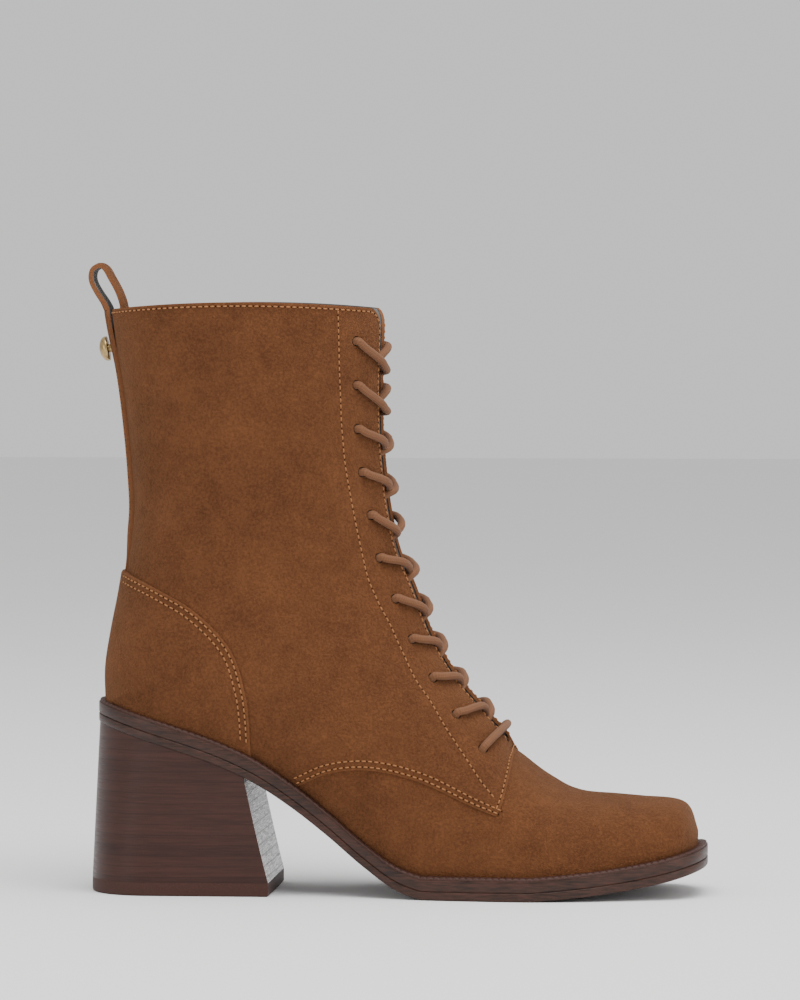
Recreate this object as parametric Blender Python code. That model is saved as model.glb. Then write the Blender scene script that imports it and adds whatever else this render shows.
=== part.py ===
"""Lace-up ankle boot with a square toe and a stacked block heel, right foot.

The boot is modelled in the last's own frame: X runs forward from the back of the heel seat, Y points to the
inner (medial) side and Z is up from the floor. At the end every piece is moved so that the world origin is
the middle of the boot's footprint, on the floor. Lengths are metres.
"""

import math

import bmesh
import bpy
import numpy as np
from mathutils import Matrix, Vector

# The last: the foot form that every piece of the upper follows.
LAST_LENGTH = 0.2352
BALL_WIDTH = 0.0790
HEEL_WIDTH = 0.0550
COLLAR_WIDTH = 0.0710
INSTEP_HEIGHT = 0.0492
SHAFT_HEIGHT = 0.1580
COLLAR_CROWN = 0.0028
HEEL_RISE = 0.0666
TOE_SPRING = 0.0100
TOE_CAP_DEPTH = 0.0150
HEEL_CAP_DEPTH = 0.0290

# Sole layers, all measured upright.
OUTSOLE_THICKNESS = 0.0034
MIDSOLE_THICKNESS = 0.0044
WELT_OVERHANG = 0.0038
HEEL_SEAT_EXTRA = 0.0017
WELT_SET_IN = 0.0006
WELT_THICKNESS = 0.0014
WELT_CLEARANCE = 0.0006
WELT_LEAN = 0.9
INSOLE_THICKNESS = 0.0025
SEAT_GAP = 0.0003
OVERLAY_GAP = 0.0009
INSOLE_GAP = 0.0009

# Block heel and its top piece.
HEEL_TOP_LENGTH = 0.0614
HEEL_TOP_BACK = 0.0053
HEEL_SEAT_SET_IN = 0.0004
HEEL_ROUND_SHARE = 0.42
HEEL_FOOT_LENGTH = 0.0738
HEEL_FOOT_BACK = 0.0081
HEEL_FOOT_WIDTH = 0.0620
HEEL_BODY_WIDTH = 0.0612
TOP_PIECE_THICKNESS = 0.0055

# Upper walls and overlays.
UPPER_WALL = 0.0022
QUARTER_STEP = 0.0009
COUNTER_THICKNESS = 0.0010
TONGUE_THICKNESS = 0.0016
TONGUE_DEPTH = 0.0064
TONGUE_HALF_WIDTH = 0.0250
TONGUE_FOOT_GIRTH, TONGUE_TOP_GIRTH = 4.50, 15.65
STAY_WIDTH = 0.0136
STAY_FOOT = 0.344
STAY_THICKNESS = 0.0012
LOOP_THICKNESS = 0.0022
LOOP_END_GIRTH = 15.3
LOOP_HEIGHT = 0.0178
LOOP_LEAN = 0.0063

# Lacing.
EYELET_PAIRS = 11
EYELET_PITCH = 0.0174
EYELET_DROP = 0.0136
EYELET_DIAMETER = 0.0044
EYELET_INSET = 0.0096
THROAT_HALF_GAP = 0.0100
FACING_CORNER = 0.0095
TOE_SHARE = 0.22
LACE_DIAMETER = 0.0030
LACE_LIFT = 0.0003

# Stud on the back stay.
STUD_DIAMETER = 0.0100
STUD_DOME = 0.0030
STUD_POST_DIAMETER = 0.0034
STUD_POST_LENGTH = 0.0010
STUD_DROP = 0.0150
STUD_GAP = 0.0004

# Sole line. station: share of the last's length from the heel; heel: share of the heel's rise;
# toe: share of the toe spring.
SOLE_LINE = [
    # station, heel, toe
    (-0.03, 1.026, 0.00),
    (0.00, 1.000, 0.00),
    (0.06, 0.938, 0.00),
    (0.13, 0.863, 0.00),
    (0.20, 0.775, 0.00),
    (0.26, 0.672, 0.00),
    (0.32, 0.530, 0.00),
    (0.38, 0.365, 0.00),
    (0.44, 0.190, 0.00),
    (0.50, 0.048, 0.00),
    (0.54, 0.000, 0.00),
    (0.72, 0.000, 0.00),
    (0.80, 0.000, 0.16),
    (0.88, 0.000, 0.40),
    (0.95, 0.000, 0.72),
    (1.00, 0.000, 1.04),
    (1.03, 0.000, 1.26),
]

# Footprint at the feather line. lateral and medial: shares of half the local width, which is the heel's
# at the back and the ball's at the front.
FOOTPRINT = [
    # station, lateral, medial
    (0.00, 0.955, 0.955),
    (0.10, 0.985, 0.985),
    (0.20, 1.010, 0.990),
    (0.30, 0.960, 0.900),
    (0.40, 0.900, 0.760),
    (0.50, 0.900, 0.765),
    (0.58, 0.930, 0.870),
    (0.66, 0.985, 0.960),
    (0.73, 1.000, 1.000),
    (0.80, 0.955, 0.985),
    (0.88, 0.835, 0.885),
    (0.95, 0.720, 0.755),
    (1.00, 0.645, 0.665),
]
HEEL_WIDTH_UNTIL, BALL_WIDTH_FROM = 0.30, 0.60

# Girths of the last, from the toe to the collar. Each is a closed ring through one point on the front line and
# one on the sole or the back seam.
# front: station of the front point; rise: its height, up to the throat as a share of the instep height above
# the sole, and beyond it as 1 plus the share of the way up to the collar; back: minus the station on the sole,
# or the share of the shaft's height on the back seam; lateral and medial: shares of half the local width, which
# is the ball's up to the throat and the collar's at the shaft; widest: place of the widest point along the
# ring, from front to back; front_round and back_round: superellipse exponents of the two ends.
GIRTHS = [
    # front, rise, back, lateral, medial, widest, front_round, back_round
    (1.000, 0.120, -1.000, 0.66, 0.68, 0.66, 2.6, 2.6),
    (0.976, 0.380, -0.960, 0.73, 0.76, 0.68, 2.6, 2.6),
    (0.905, 0.510, -0.885, 0.85, 0.90, 0.70, 2.5, 2.6),
    (0.800, 0.622, -0.800, 0.98, 1.00, 0.70, 2.4, 2.6),
    (0.748, 0.765, -0.730, 1.02, 1.02, 0.68, 2.3, 2.6),
    (0.6845, 1.000, -0.640, 1.01, 0.99, 0.64, 2.2, 2.5),
    (0.6450, 1.076, -0.550, 0.97, 0.94, 0.60, 2.2, 2.4),
    (0.5910, 1.163, -0.440, 0.92, 0.89, 0.58, 2.2, 2.4),
    (0.5500, 1.262, -0.300, 0.87, 0.86, 0.60, 2.2, 2.4),
    (0.5245, 1.365, -0.140, 0.865, 0.865, 0.62, 2.2, 2.4),
    (0.4990, 1.455, 0.000, 0.86, 0.86, 0.61, 2.2, 2.4),
    (0.4840, 1.535, 0.160, 0.86, 0.86, 0.59, 2.2, 2.3),
    (0.4740, 1.620, 0.330, 0.87, 0.87, 0.57, 2.2, 2.2),
    (0.4675, 1.708, 0.470, 0.89, 0.89, 0.56, 2.2, 2.2),
    (0.4650, 1.803, 0.630, 0.93, 0.93, 0.55, 2.2, 2.2),
    (0.4650, 1.900, 0.810, 0.97, 0.97, 0.54, 2.2, 2.2),
    (0.4690, 2.000, 1.000, 1.00, 1.00, 0.53, 2.2, 2.2),
]
THROAT_GIRTH, HEEL_GIRTH, COLLAR_GIRTH = 5.0, 10.0, 16.0
HEEL_EASE = 0.08
CROWN_FROM_GIRTH = 13.0

# Back seam. height: share of the shaft's height; set_in: share of the last's length, forward of the heel.
# Distance from the facing's edge to the eyelets, as a share of the inset, down the lacing.
EYELET_LINE = [
    # girth, share
    (5.0, 2.26),
    (5.7, 2.02),
    (6.6, 1.68),
    (7.3, 1.36),
    (8.1, 1.16),
    (9.0, 1.11),
    (10.0, 1.03),
    (11.2, 0.99),
    (12.3, 1.18),
    (13.4, 1.34),
    (14.4, 1.41),
    (15.3, 1.50),
    (16.0, 1.55),
]
BACK_SEAM = [
    # height, set_in
    (0.00, 0.0000),
    (0.09, -0.0010),
    (0.18, 0.0080),
    (0.27, 0.0200),
    (0.33, 0.0275),
    (0.41, 0.0360),
    (0.49, 0.0410),
    (0.58, 0.0385),
    (0.70, 0.0315),
    (0.82, 0.0215),
    (0.92, 0.0100),
    (1.00, 0.0030),
]

# Seams in side view. station: share of the last's length; height: share of the way from the floor to the collar.
QUARTER_SEAM = [
    # station, height
    (0.328, 0.1880),
    (0.385, 0.2130),
    (0.455, 0.2185),
    (0.537, 0.2000),
    (0.621, 0.1620),
    (0.668, 0.1430),
]
FACING_FOOT = [
    # station, height
    (0.668, 0.1430),
    (0.679, 0.1740),
    (0.686, 0.2110),
    (0.688, 0.2360),
    (0.690, 0.2560),
]
COUNTER_SEAM = [
    # station, height
    (0.250, 0.237),
    (0.248, 0.300),
    (0.240, 0.355),
    (0.216, 0.422),
    (0.159, 0.483),
    (0.100, 0.5180),
    (0.030, 0.549),
]

# Path of the pull loop over the collar: shares of its lean backward and of its height.
LOOP_PATH = [
    # lean, height
    (0.00, 0.00),
    (0.20, 0.17),
    (0.60, 0.40),
    (0.88, 0.60),
    (0.95, 0.75),
    (0.84, 0.90),
    (0.56, 0.98),
    (0.32, 1.00),
    (0.04, 0.93),
    (-0.18, 0.80),
    (-0.36, 0.63),
    (-0.48, 0.43),
    (-0.56, 0.20),
    (-0.60, 0.00),
]

# Path of one lace strand. across: share of the way from the front line to the eyelet, minus on the strand's
# own side; height: share of the way from its place under a facing to its place over one.
STRAND = [
    # across, height
    (-1.00, 1.00),
    (-0.82, 1.00),
    (-0.64, 1.00),
    (-0.46, 1.00),
    (-0.24, 0.78),
    (0.00, 0.50),
    (0.24, 0.22),
    (0.44, 0.00),
    (0.68, 0.00),
    (0.90, 0.00),
]

# Girths of the mesh's rows: the vamp up to the throat, the quarters up to the heel seat and the shaft.
VAMP_ROWS = [0.0, 0.04, 0.12, 0.30, 0.55, 0.85, 1.25, 1.75, 2.4, 3.1, 3.8, 4.5, 5.12]
QUARTER_ROWS = [
    5.5, 5.9, 6.3, 6.7, 7.1, 7.45, 7.75, 8.0, 8.25, 8.5, 8.75, 9.0, 9.2, 9.4, 9.55, 9.68, 9.8, 9.9, 10.0,
]
SHAFT_ROWS = [10.35, 10.85, 11.4, 12.0, 12.7, 13.4, 14.1, 14.7, 15.15, 15.45, 15.65, 15.8, 15.92, 16.0]
UPPER_COLUMNS = 15
SOLE_RIBS, WELT_RIBS, HEEL_RIBS = 57, 65, 17
VAMP_FORM_ROWS, COUNTER_FIRST_ROW, COUNTER_LAST_ROW, COUNTER_COLUMN = 8, 5, 6, 4
PRISM_REACH, PRISM_MARGIN = 0.060, 0.030
END_FLAT = 0.0004
MERGE = 0.00001

SUEDE = (0.36, 0.17, 0.085)
LINING = (0.09, 0.085, 0.08)
SOLE_BROWN = (0.085, 0.045, 0.035)
STACK_BROWN = (0.075, 0.035, 0.027)
RUBBER_BROWN = (0.11, 0.045, 0.03)
LACE_BROWN = (0.40, 0.23, 0.14)
BRASS = (0.60, 0.42, 0.17)

LEVEL_ABOVE_FEATHER = 0.009
GRID_GIRTHS, GRID_AROUND = 481, 121
LATERAL, MEDIAL = -1, 1


def spline(knots, values, at):
    """Cubic Hermite curve through the knots, straight beyond its ends."""
    knots, values, at = np.asarray(knots, float), np.asarray(values, float), np.asarray(at, float)
    slopes = np.gradient(values, knots)
    inside = np.clip(at, knots[0], knots[-1])
    i = np.clip(np.searchsorted(knots, inside, side="right") - 1, 0, len(knots) - 2)
    span = knots[i + 1] - knots[i]
    t = (inside - knots[i]) / span
    curve = (
        values[i] * (1 + 2 * t) * (1 - t) ** 2
        + values[i + 1] * t**2 * (3 - 2 * t)
        + span * (slopes[i] * t * (1 - t) ** 2 - slopes[i + 1] * t**2 * (1 - t))
    )
    beyond = at - inside
    return curve + beyond * np.where(beyond < 0, slopes[0], slopes[-1])


def column(table, place):
    return np.array([row[place] for row in table])


def along(table, place, at):
    """A table's column as a smooth curve over its first column."""
    return spline(column(table, 0), column(table, place), at)


def ramp(value, start, end):
    """Smooth step from 0 at start to 1 at end."""
    t = np.clip((np.asarray(value, float) - start) / (end - start), 0, 1)
    return t * t * (3 - 2 * t)


def underside(x):
    """Height of the outsole's underside at x. Under the ball it is flat on the floor."""
    station = np.asarray(x, float) / LAST_LENGTH
    heel = np.maximum(along(SOLE_LINE, 1, station), 0)
    toe = np.maximum(along(SOLE_LINE, 2, station), 0)
    lifted = HEEL_RISE * heel * (station < 0.54) + TOE_SPRING * toe * (station > 0.72)
    return lifted


def outsole_top(x):
    return underside(x) + OUTSOLE_THICKNESS


def midsole_bottom(x):
    return outsole_top(x) + SEAT_GAP


def midsole_top(x):
    return midsole_bottom(x) + MIDSOLE_THICKNESS


def feather(x):
    """Height of the feather line, where the upper's edge sits on the midsole."""
    return midsole_top(x) + SEAT_GAP


def end_round(station, depth, exponent):
    """Share of the width left at a distance from a rounded end."""
    left = np.clip(1 - station * LAST_LENGTH / depth, 0, 1)
    return (1 - left**exponent) ** (1 / exponent)


def toe_round(station):
    return end_round(1 - station, TOE_CAP_DEPTH, 2.6)


def heel_round(station):
    return end_round(station, HEEL_CAP_DEPTH, 2.1)


def half_width(station, side):
    """Half the footprint's width at the feather line, on one side."""
    size = HEEL_WIDTH + (BALL_WIDTH - HEEL_WIDTH) * ramp(station, HEEL_WIDTH_UNTIL, BALL_WIDTH_FROM)
    share = along(FOOTPRINT, 1 if side == LATERAL else 2, station)
    return size / 2 * share * toe_round(station) * heel_round(station)


def back_seam(height):
    """Point of the back seam at a share of the shaft's height: x and z."""
    seat = feather(0.0)
    return along(BACK_SEAM, 1, height) * LAST_LENGTH, seat + SHAFT_HEIGHT * height


def girth_frame(girth):
    """Front point, back point and shape of the rings at these girths, as a dict of arrays."""
    rows = np.arange(len(GIRTHS))
    front, rise, back, lateral, medial, widest, front_round, back_round = (
        spline(rows, column(GIRTHS, i), girth) for i in range(8)
    )
    back = np.clip(back, -1, 1)
    back = back * np.abs(back) * (1 + HEEL_EASE) / (np.abs(back) + HEEL_EASE)
    front_x = front * LAST_LENGTH
    throat_x = GIRTHS[int(THROAT_GIRTH)][0] * LAST_LENGTH
    throat_z = feather(throat_x) + INSTEP_HEIGHT
    collar_z = feather(0.0) + SHAFT_HEIGHT
    low = feather(front_x) + INSTEP_HEIGHT * rise
    high = throat_z + (collar_z - throat_z) * (rise - 1)
    front_z = np.where(girth < THROAT_GIRTH, low, high)
    seam_x, seam_z = back_seam(np.maximum(back, 0))
    sole_x = -back * LAST_LENGTH
    on_sole = back < 0
    size = BALL_WIDTH + (COLLAR_WIDTH - BALL_WIDTH) * ramp(girth, THROAT_GIRTH, CROWN_FROM_GIRTH)
    cap = np.where(on_sole, toe_round(-back), 1.0)
    return {
        "front": (front_x, front_z),
        "back": (np.where(on_sole, sole_x, seam_x), np.where(on_sole, feather(sole_x), seam_z)),
        "width": {LATERAL: size / 2 * lateral * cap, MEDIAL: size / 2 * medial * cap},
        "foot": {
            side: np.where(on_sole, half_width(np.maximum(-back, 0), side), 0.0)
            for side in (LATERAL, MEDIAL)
        },
        "widest": widest,
        "front_round": front_round,
        "back_round": back_round,
        "crown": COLLAR_CROWN * ramp(girth, CROWN_FROM_GIRTH, COLLAR_GIRTH),
    }


def girth_ring(girth, side, points=400):
    """One side of each ring, from the front line to the sole or back seam, as points evenly spaced along it.

    The front end is a superellipse from the front point to the widest point. The back end is a superellipse
    too, cut off where its width has come down to the footprint's."""
    frame = girth_frame(girth)
    turn = np.linspace(0, math.pi / 2, points // 2)
    front_power, back_power = (2 / frame[name][:, None] for name in ("front_round", "back_round"))
    width, widest = frame["width"][side][:, None], frame["widest"][:, None]
    foot = np.minimum(frame["foot"][side][:, None], width)
    cut = 1 - (foot / np.maximum(width, 1e-9)) ** (2 / back_power)
    share = np.hstack([
        widest * (1 - np.cos(turn) ** front_power),
        widest + (1 - widest) * np.sin(turn[1:]) ** back_power,
    ])
    out = np.hstack([
        width * np.sin(turn) ** front_power,
        width * np.maximum(1 - cut * np.sin(turn[1:]) ** 2, 0) ** (back_power / 2),
    ])
    (front_x, front_z), (back_x, back_z) = frame["front"], frame["back"]
    x = front_x[:, None] + (back_x - front_x)[:, None] * share
    z = front_z[:, None] + (back_z - front_z)[:, None] * share
    z += frame["crown"][:, None] * 4 * share * (1 - share)
    ring = np.stack([x, side * out, z], axis=2)
    steps = np.linalg.norm(np.diff(ring, axis=1), axis=2)
    length = np.hstack([np.zeros((len(ring), 1)), np.cumsum(steps, axis=1)])
    even = np.linspace(0, 1, GRID_AROUND)
    placed = np.empty((len(ring), GRID_AROUND, 3))
    for row, (points_row, length_row) in enumerate(zip(ring, length)):
        for axis in range(3):
            placed[row, :, axis] = np.interp(even * length_row[-1], length_row, points_row[:, axis])
    return placed, length[:, -1]


class Last:
    """The last's surface as a fine grid over girth and distance round, with its outward normals."""

    def __init__(self):
        self.girths = COLLAR_GIRTH * np.linspace(0, 1, GRID_GIRTHS)
        self.around = np.linspace(0, 1, GRID_AROUND)
        self.points, self.normals, self.lengths = {}, {}, {}
        for side in (LATERAL, MEDIAL):
            points, lengths = girth_ring(self.girths, side)
            up = np.gradient(points, self.girths, axis=0)
            round_ring = np.gradient(points, self.around, axis=1)
            normals = np.cross(up, round_ring) * -side
            from_foot = (1 - self.around)[None, :] * lengths[:, None]
            level = np.where(self.girths[:, None] <= HEEL_GIRTH + 1e-6, ramp(from_foot, 0, LEVEL_ABOVE_FEATHER), 1)
            normals[..., 2] *= level
            normals[0, :, 1] = normals[0, :, 2] = 0
            normals[0, :, 0] = 1
            normals[:, 0, 1] = 0
            normals[self.girths >= HEEL_GIRTH, -1, 1] = 0
            normals /= np.maximum(np.linalg.norm(normals, axis=2, keepdims=True), 1e-12)
            self.points[side], self.normals[side], self.lengths[side] = points, normals, lengths
        for seam in (np.s_[:, 0], np.s_[0, :], np.s_[self.girths >= HEEL_GIRTH, -1]):
            mean = self.normals[LATERAL][seam] + self.normals[MEDIAL][seam]
            mean /= np.maximum(np.linalg.norm(mean, axis=-1, keepdims=True), 1e-12)
            self.normals[LATERAL][seam] = self.normals[MEDIAL][seam] = mean

    def at(self, side, girth, around, lift=0.0):
        """Points of one side, lifted off the last along its normals. All three may be arrays."""
        girth, around, lift = np.broadcast_arrays(
            np.asarray(girth, float), np.asarray(around, float), np.asarray(lift, float)
        )
        row = np.clip(girth / COLLAR_GIRTH, 0, 1) * (GRID_GIRTHS - 1)
        col = np.clip(around, 0, 1) * (GRID_AROUND - 1)
        i = np.minimum(row.astype(int), GRID_GIRTHS - 2)
        j = np.minimum(col.astype(int), GRID_AROUND - 2)
        a, b = (row - i)[..., None], (col - j)[..., None]

        def mixed(grid):
            return (grid[i, j] * (1 - a) + grid[i + 1, j] * a) * (1 - b) + (
                grid[i, j + 1] * (1 - a) + grid[i + 1, j + 1] * a
            ) * b

        normal = mixed(self.normals[side])
        normal /= np.linalg.norm(normal, axis=-1, keepdims=True)
        point = mixed(self.points[side]) + normal * lift[..., None]
        floor = feather(point[..., 0])
        on_feather = (around >= 1) & (girth <= HEEL_GIRTH + 1e-6)
        point[..., 2] = np.where(on_feather, floor, np.maximum(point[..., 2], floor))
        return point

    def normal(self, side, girth, around):
        step = self.at(side, girth, around, 1.0) - self.at(side, girth, around, 0.0)
        return step / np.linalg.norm(step, axis=-1, keepdims=True)

    def share(self, side, girth, distance):
        """Share of the way round a ring at a distance from the front line."""
        return distance / np.interp(girth, self.girths, self.lengths[side])

    def find(self, side, x, z):
        """Girth and share round of the surface points at x and z in side view."""
        frame = girth_frame(self.girths)
        (front_x, front_z), (back_x, back_z) = frame["front"], frame["back"]
        along_x, along_z = back_x - front_x, back_z - front_z
        size = np.hypot(along_x, along_z)
        found = []
        for px, pz in zip(np.atleast_1d(x), np.atleast_1d(z)):
            out_x, out_z = px - front_x, pz - front_z
            share = (out_x * along_x + out_z * along_z) / size**2
            off = (out_x * along_z - out_z * along_x) / size + frame["crown"] * 4 * share * (1 - share)
            inside = (share > -0.02) & (share < 1.02)
            change = np.flatnonzero((off[:-1] * off[1:] <= 0) & inside[:-1] & inside[1:])
            i = change[0]
            t = off[i] / (off[i] - off[i + 1]) if off[i] != off[i + 1] else 0.0
            girth = self.girths[i] + t * (self.girths[i + 1] - self.girths[i])
            ring = self.at(side, girth, self.around)
            place = np.hypot(ring[:, 0] - px, ring[:, 2] - pz).argmin()
            found.append((girth, self.around[place]))
        return np.array(found).T


def throat_distance(last, girth):
    """Distance from the front line to the facing's edge, with the facing's top corner rounded."""
    length = np.interp(girth, last.girths, last.lengths[LATERAL])
    front = last.at(LATERAL, girth, 0.0)
    top = last.at(LATERAL, COLLAR_GIRTH, 0.0)
    up = np.clip(FACING_CORNER - np.hypot(front[..., 0] - top[0], front[..., 2] - top[2]), 0, FACING_CORNER)
    corner = FACING_CORNER - np.sqrt(FACING_CORNER**2 - 0.96 * up**2)
    return np.minimum(THROAT_HALF_GAP + corner, TOE_SHARE * length + corner)


def around_at(last, girth, out):
    """Share round a ring at a place between the facing's edge (0) and the sole or back seam (1)."""
    edge = throat_distance(last, girth) / np.interp(girth, last.girths, last.lengths[LATERAL])
    return edge + (1 - edge) * out


def seam_points(table, count):
    """Side-view points along a seam table, evenly spaced by the table's own steps."""
    places = np.linspace(0, len(table) - 1, count)
    x = spline(np.arange(len(table)), column(table, 0), places) * LAST_LENGTH
    z = spline(np.arange(len(table)), column(table, 1), places) * (feather(0.0) + SHAFT_HEIGHT)
    return x, z


def make_object(name, points, faces, colour, roughness=0.8, metallic=0.0):
    """Mesh object of its own material, with coincident points merged and faces turned outward."""
    mesh = bpy.data.meshes.new(name)
    mesh.from_pydata([tuple(map(float, point)) for point in points], [], [tuple(face) for face in faces])
    shape = bmesh.new()
    shape.from_mesh(mesh)
    bmesh.ops.remove_doubles(shape, verts=shape.verts, dist=MERGE)
    bmesh.ops.dissolve_degenerate(shape, edges=shape.edges, dist=MERGE / 10)
    bmesh.ops.recalc_face_normals(shape, faces=shape.faces)
    shape.to_mesh(mesh)
    shape.free()
    item = bpy.data.objects.new(name, mesh)
    material = bpy.data.materials.new(name)
    material.use_nodes = True
    surface = material.node_tree.nodes["Principled BSDF"]
    surface.inputs["Base Color"].default_value = (*colour, 1.0)
    surface.inputs["Roughness"].default_value = roughness
    surface.inputs["Metallic"].default_value = metallic
    mesh.materials.append(material)
    bpy.context.scene.collection.objects.link(item)
    return item


def grid_faces(index):
    """Triangles between neighbouring entries of a grid of point numbers, all cut along the same diagonal."""
    a, b, c, d = (part.reshape(-1) for part in (index[:-1, :-1], index[1:, :-1], index[1:, 1:], index[:-1, 1:]))
    return np.concatenate([np.stack([a, b, c], axis=1), np.stack([a, c, d], axis=1)])


def walled(outer, inner, faces):
    """Closed solid between an outer sheet and its inner copy, as points and faces."""
    _, first, place = np.unique(np.round(outer, 6), axis=0, return_index=True, return_inverse=True)
    place = place.reshape(-1)
    count = len(first)
    shell, uses = [], {}
    for face in place[faces]:
        ring = [int(v) for i, v in enumerate(face) if v != face[i - 1]]
        if len(ring) < 3 or len(set(ring)) < len(ring):
            continue
        shell.append(ring)
        for a, b in zip(ring, ring[1:] + ring[:1]):
            uses[(a, b)] = True
    rim = [(b, a, a + count, b + count) for a, b in uses if (b, a) not in uses]
    back = [[v + count for v in reversed(face)] for face in shell]
    return np.vstack([outer[first], inner[first]]), shell + back + rim


def slab(name, outline, bottom, top, colour, roughness):
    """Layer between two heights that change along the foot only, inside a plan outline of ribs."""
    stations, lateral, medial = outline
    ribs = len(stations)
    x, y = np.repeat(stations, 2), np.stack([-lateral, medial], axis=1).reshape(-1)
    low, high = np.stack([x, y, bottom(x)], axis=1), np.stack([x, y, top(x)], axis=1)
    index = np.arange(2 * ribs).reshape(ribs, 2)
    points, faces = walled(high, low, grid_faces(index))
    return make_object(name, points, faces, colour, roughness)


def plan_outline(offset, ribs, toe_offset=None):
    """Footprint moved out by an offset that may change along the foot: rib stations and both half widths."""
    angle = np.linspace(0, math.pi, 721)
    x = LAST_LENGTH * (1 - np.cos(angle)) / 2
    share = x / LAST_LENGTH
    move = offset(x)
    halves = []
    for side in (LATERAL, MEDIAL):
        y = half_width(share, side)
        dx, dy = np.gradient(x), np.gradient(y)
        dy[0], dy[-1] = 1.0, -1.0
        dx[0] = dx[-1] = 0.0
        size = np.hypot(dx, dy)
        halves.append((x - move * dy / size, y + move * dx / size))
    start = max(half[0].min() for half in halves) + END_FLAT
    end = min(half[0].max() for half in halves) - END_FLAT
    turn = np.linspace(0, math.pi, ribs)
    eased = (1 - np.cos(turn)) / 2
    stations = start + (end - start) * (0.55 * eased + 0.45 * np.linspace(0, 1, ribs))
    widths = [np.interp(stations, *map(np.asarray, sorted_pair(half))) for half in halves]
    return stations, widths[0], widths[1]


def sorted_pair(half):
    order = np.argsort(half[0])
    return half[0][order], half[1][order]


def sole_offset(x):
    """Overhang of the sole past the last: more at the heel, where the counter lies over the quarters."""
    return WELT_OVERHANG + HEEL_SEAT_EXTRA * (1 - ramp(x, 0.22 * LAST_LENGTH, 0.42 * LAST_LENGTH))


def upper_outside(x):
    """How far the upper's outermost layer stands off the last at the feather line."""
    heel, waist = COUNTER_SEAM[0][0] * LAST_LENGTH, QUARTER_SEAM[0][0] * LAST_LENGTH
    counter = (OVERLAY_GAP + COUNTER_THICKNESS) * (1 - ramp(x, heel + 0.001, heel + 0.006))
    return counter + QUARTER_STEP * (1 - ramp(x, waist + 0.001, waist + 0.006))


def build_sole():
    outline = plan_outline(sole_offset, SOLE_RIBS)
    slab("outsole", outline, underside, outsole_top, SOLE_BROWN, 0.45)
    slab("midsole", outline, midsole_bottom, midsole_top, SOLE_BROWN, 0.45)
    inside = plan_outline(lambda x: -(UPPER_WALL + INSOLE_GAP) + 0 * x, SOLE_RIBS)
    slab("insole", inside, feather, lambda x: feather(x) + INSOLE_THICKNESS, LINING, 0.9)


def build_welt(last):
    """Bead round the foot of the upper, on the midsole's ledge, its inner side following the upper."""
    dense = HEEL_GIRTH * (1 - np.cos(np.linspace(0, math.pi, 1500))) / 2
    line = last.at(LATERAL, dense, 1.0)
    gone = np.concatenate([[0], np.cumsum(np.linalg.norm(np.diff(line, axis=0), axis=1))])
    girth = np.interp(np.linspace(0, gone[-1], WELT_RIBS), gone, dense)
    profile = []
    for side in (LATERAL, MEDIAL):
        foot = last.at(side, girth, 1.0)
        clear = upper_outside(foot[:, 0]) + WELT_CLEARANCE
        away = last.at(side, girth, 1.0, 0.001) - foot
        away[:, 2] = 0
        away /= np.linalg.norm(away, axis=1, keepdims=True)
        edge = foot + away * (sole_offset(foot[:, 0]) - WELT_SET_IN)[:, None]
        length = np.interp(girth, last.girths, last.lengths[side])
        low_in, high_in = (
            last.at(side, girth, 1 - (high + WELT_LEAN * clear) / length, clear) for high in (0, WELT_THICKNESS)
        )
        high_in[-1] = last.at(side, HEEL_GIRTH + 0.1, 1.0, clear[-1])
        low_in[-1] = high_in[-1]
        low_in[:, 2] = feather(low_in[:, 0])
        high_in[:, 2] = feather(high_in[:, 0]) + WELT_THICKNESS
        low_out, high_out = edge.copy(), edge.copy()
        low_out[:, 2] = feather(edge[:, 0])
        high_out[:, 2] = feather(edge[:, 0]) + WELT_THICKNESS
        ring = np.stack([low_in, high_in, high_out, low_out, low_in])
        profile.append(ring if side == LATERAL else ring[:, ::-1][:, 1:-1])
    closed = np.concatenate([profile[0], profile[1], profile[0][:, :1]], axis=1)
    index = np.arange(closed.shape[0] * closed.shape[1]).reshape(closed.shape[:2])
    return make_object("welt", closed.reshape(-1, 3), grid_faces(index), RUBBER_BROWN, 0.5)


def heel_outline(length, back, width, ribs):
    """D-shaped plan of the block: rounded at the back, flat at the breast."""
    turn = np.linspace(0, 1, ribs)
    stations = -back + length * (1 - np.cos(turn * math.pi / 2)) ** 1.15
    stations = np.concatenate([[-back], stations[1:]])
    depth = HEEL_ROUND_SHARE * width
    left = np.clip(1 - (stations + back + END_FLAT) / depth, 0, 1)
    half = width / 2 * (1 - left**2.2) ** (1 / 2.2)
    return stations, half, half


def build_heel():
    """Block lofted from its D-shaped foot up to the sole's own outline, and the top piece under it."""
    foot = heel_outline(HEEL_FOOT_LENGTH, HEEL_FOOT_BACK, HEEL_FOOT_WIDTH, HEEL_RIBS)
    slab("top_piece", foot, lambda x: 0 * x, lambda x: 0 * x + TOP_PIECE_THICKNESS, RUBBER_BROWN, 0.6)
    share = (foot[0] - foot[0][0]) / (foot[0][-1] - foot[0][0])
    outline = plan_outline(lambda x: sole_offset(x) - HEEL_SEAT_SET_IN, 161)
    x = outline[0][0] + share * (HEEL_TOP_LENGTH - HEEL_TOP_BACK - outline[0][0])
    top = (x, np.interp(x, outline[0], outline[1]), np.interp(x, outline[0], outline[2]))
    rows = []
    for (stations, lateral, medial), height in (
        (foot, lambda at: 0 * at + TOP_PIECE_THICKNESS + SEAT_GAP),
        (top, lambda at: underside(at) - SEAT_GAP),
    ):
        x = np.repeat(stations, 2)
        y = np.stack([-lateral, medial], axis=1).reshape(-1)
        rows.append(np.stack([x, y, height(x)], axis=1))
    index = np.arange(2 * HEEL_RIBS).reshape(HEEL_RIBS, 2)
    points, faces = walled(rows[1], rows[0], grid_faces(index))
    return make_object("heel", points, faces, STACK_BROWN, 0.35)


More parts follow.
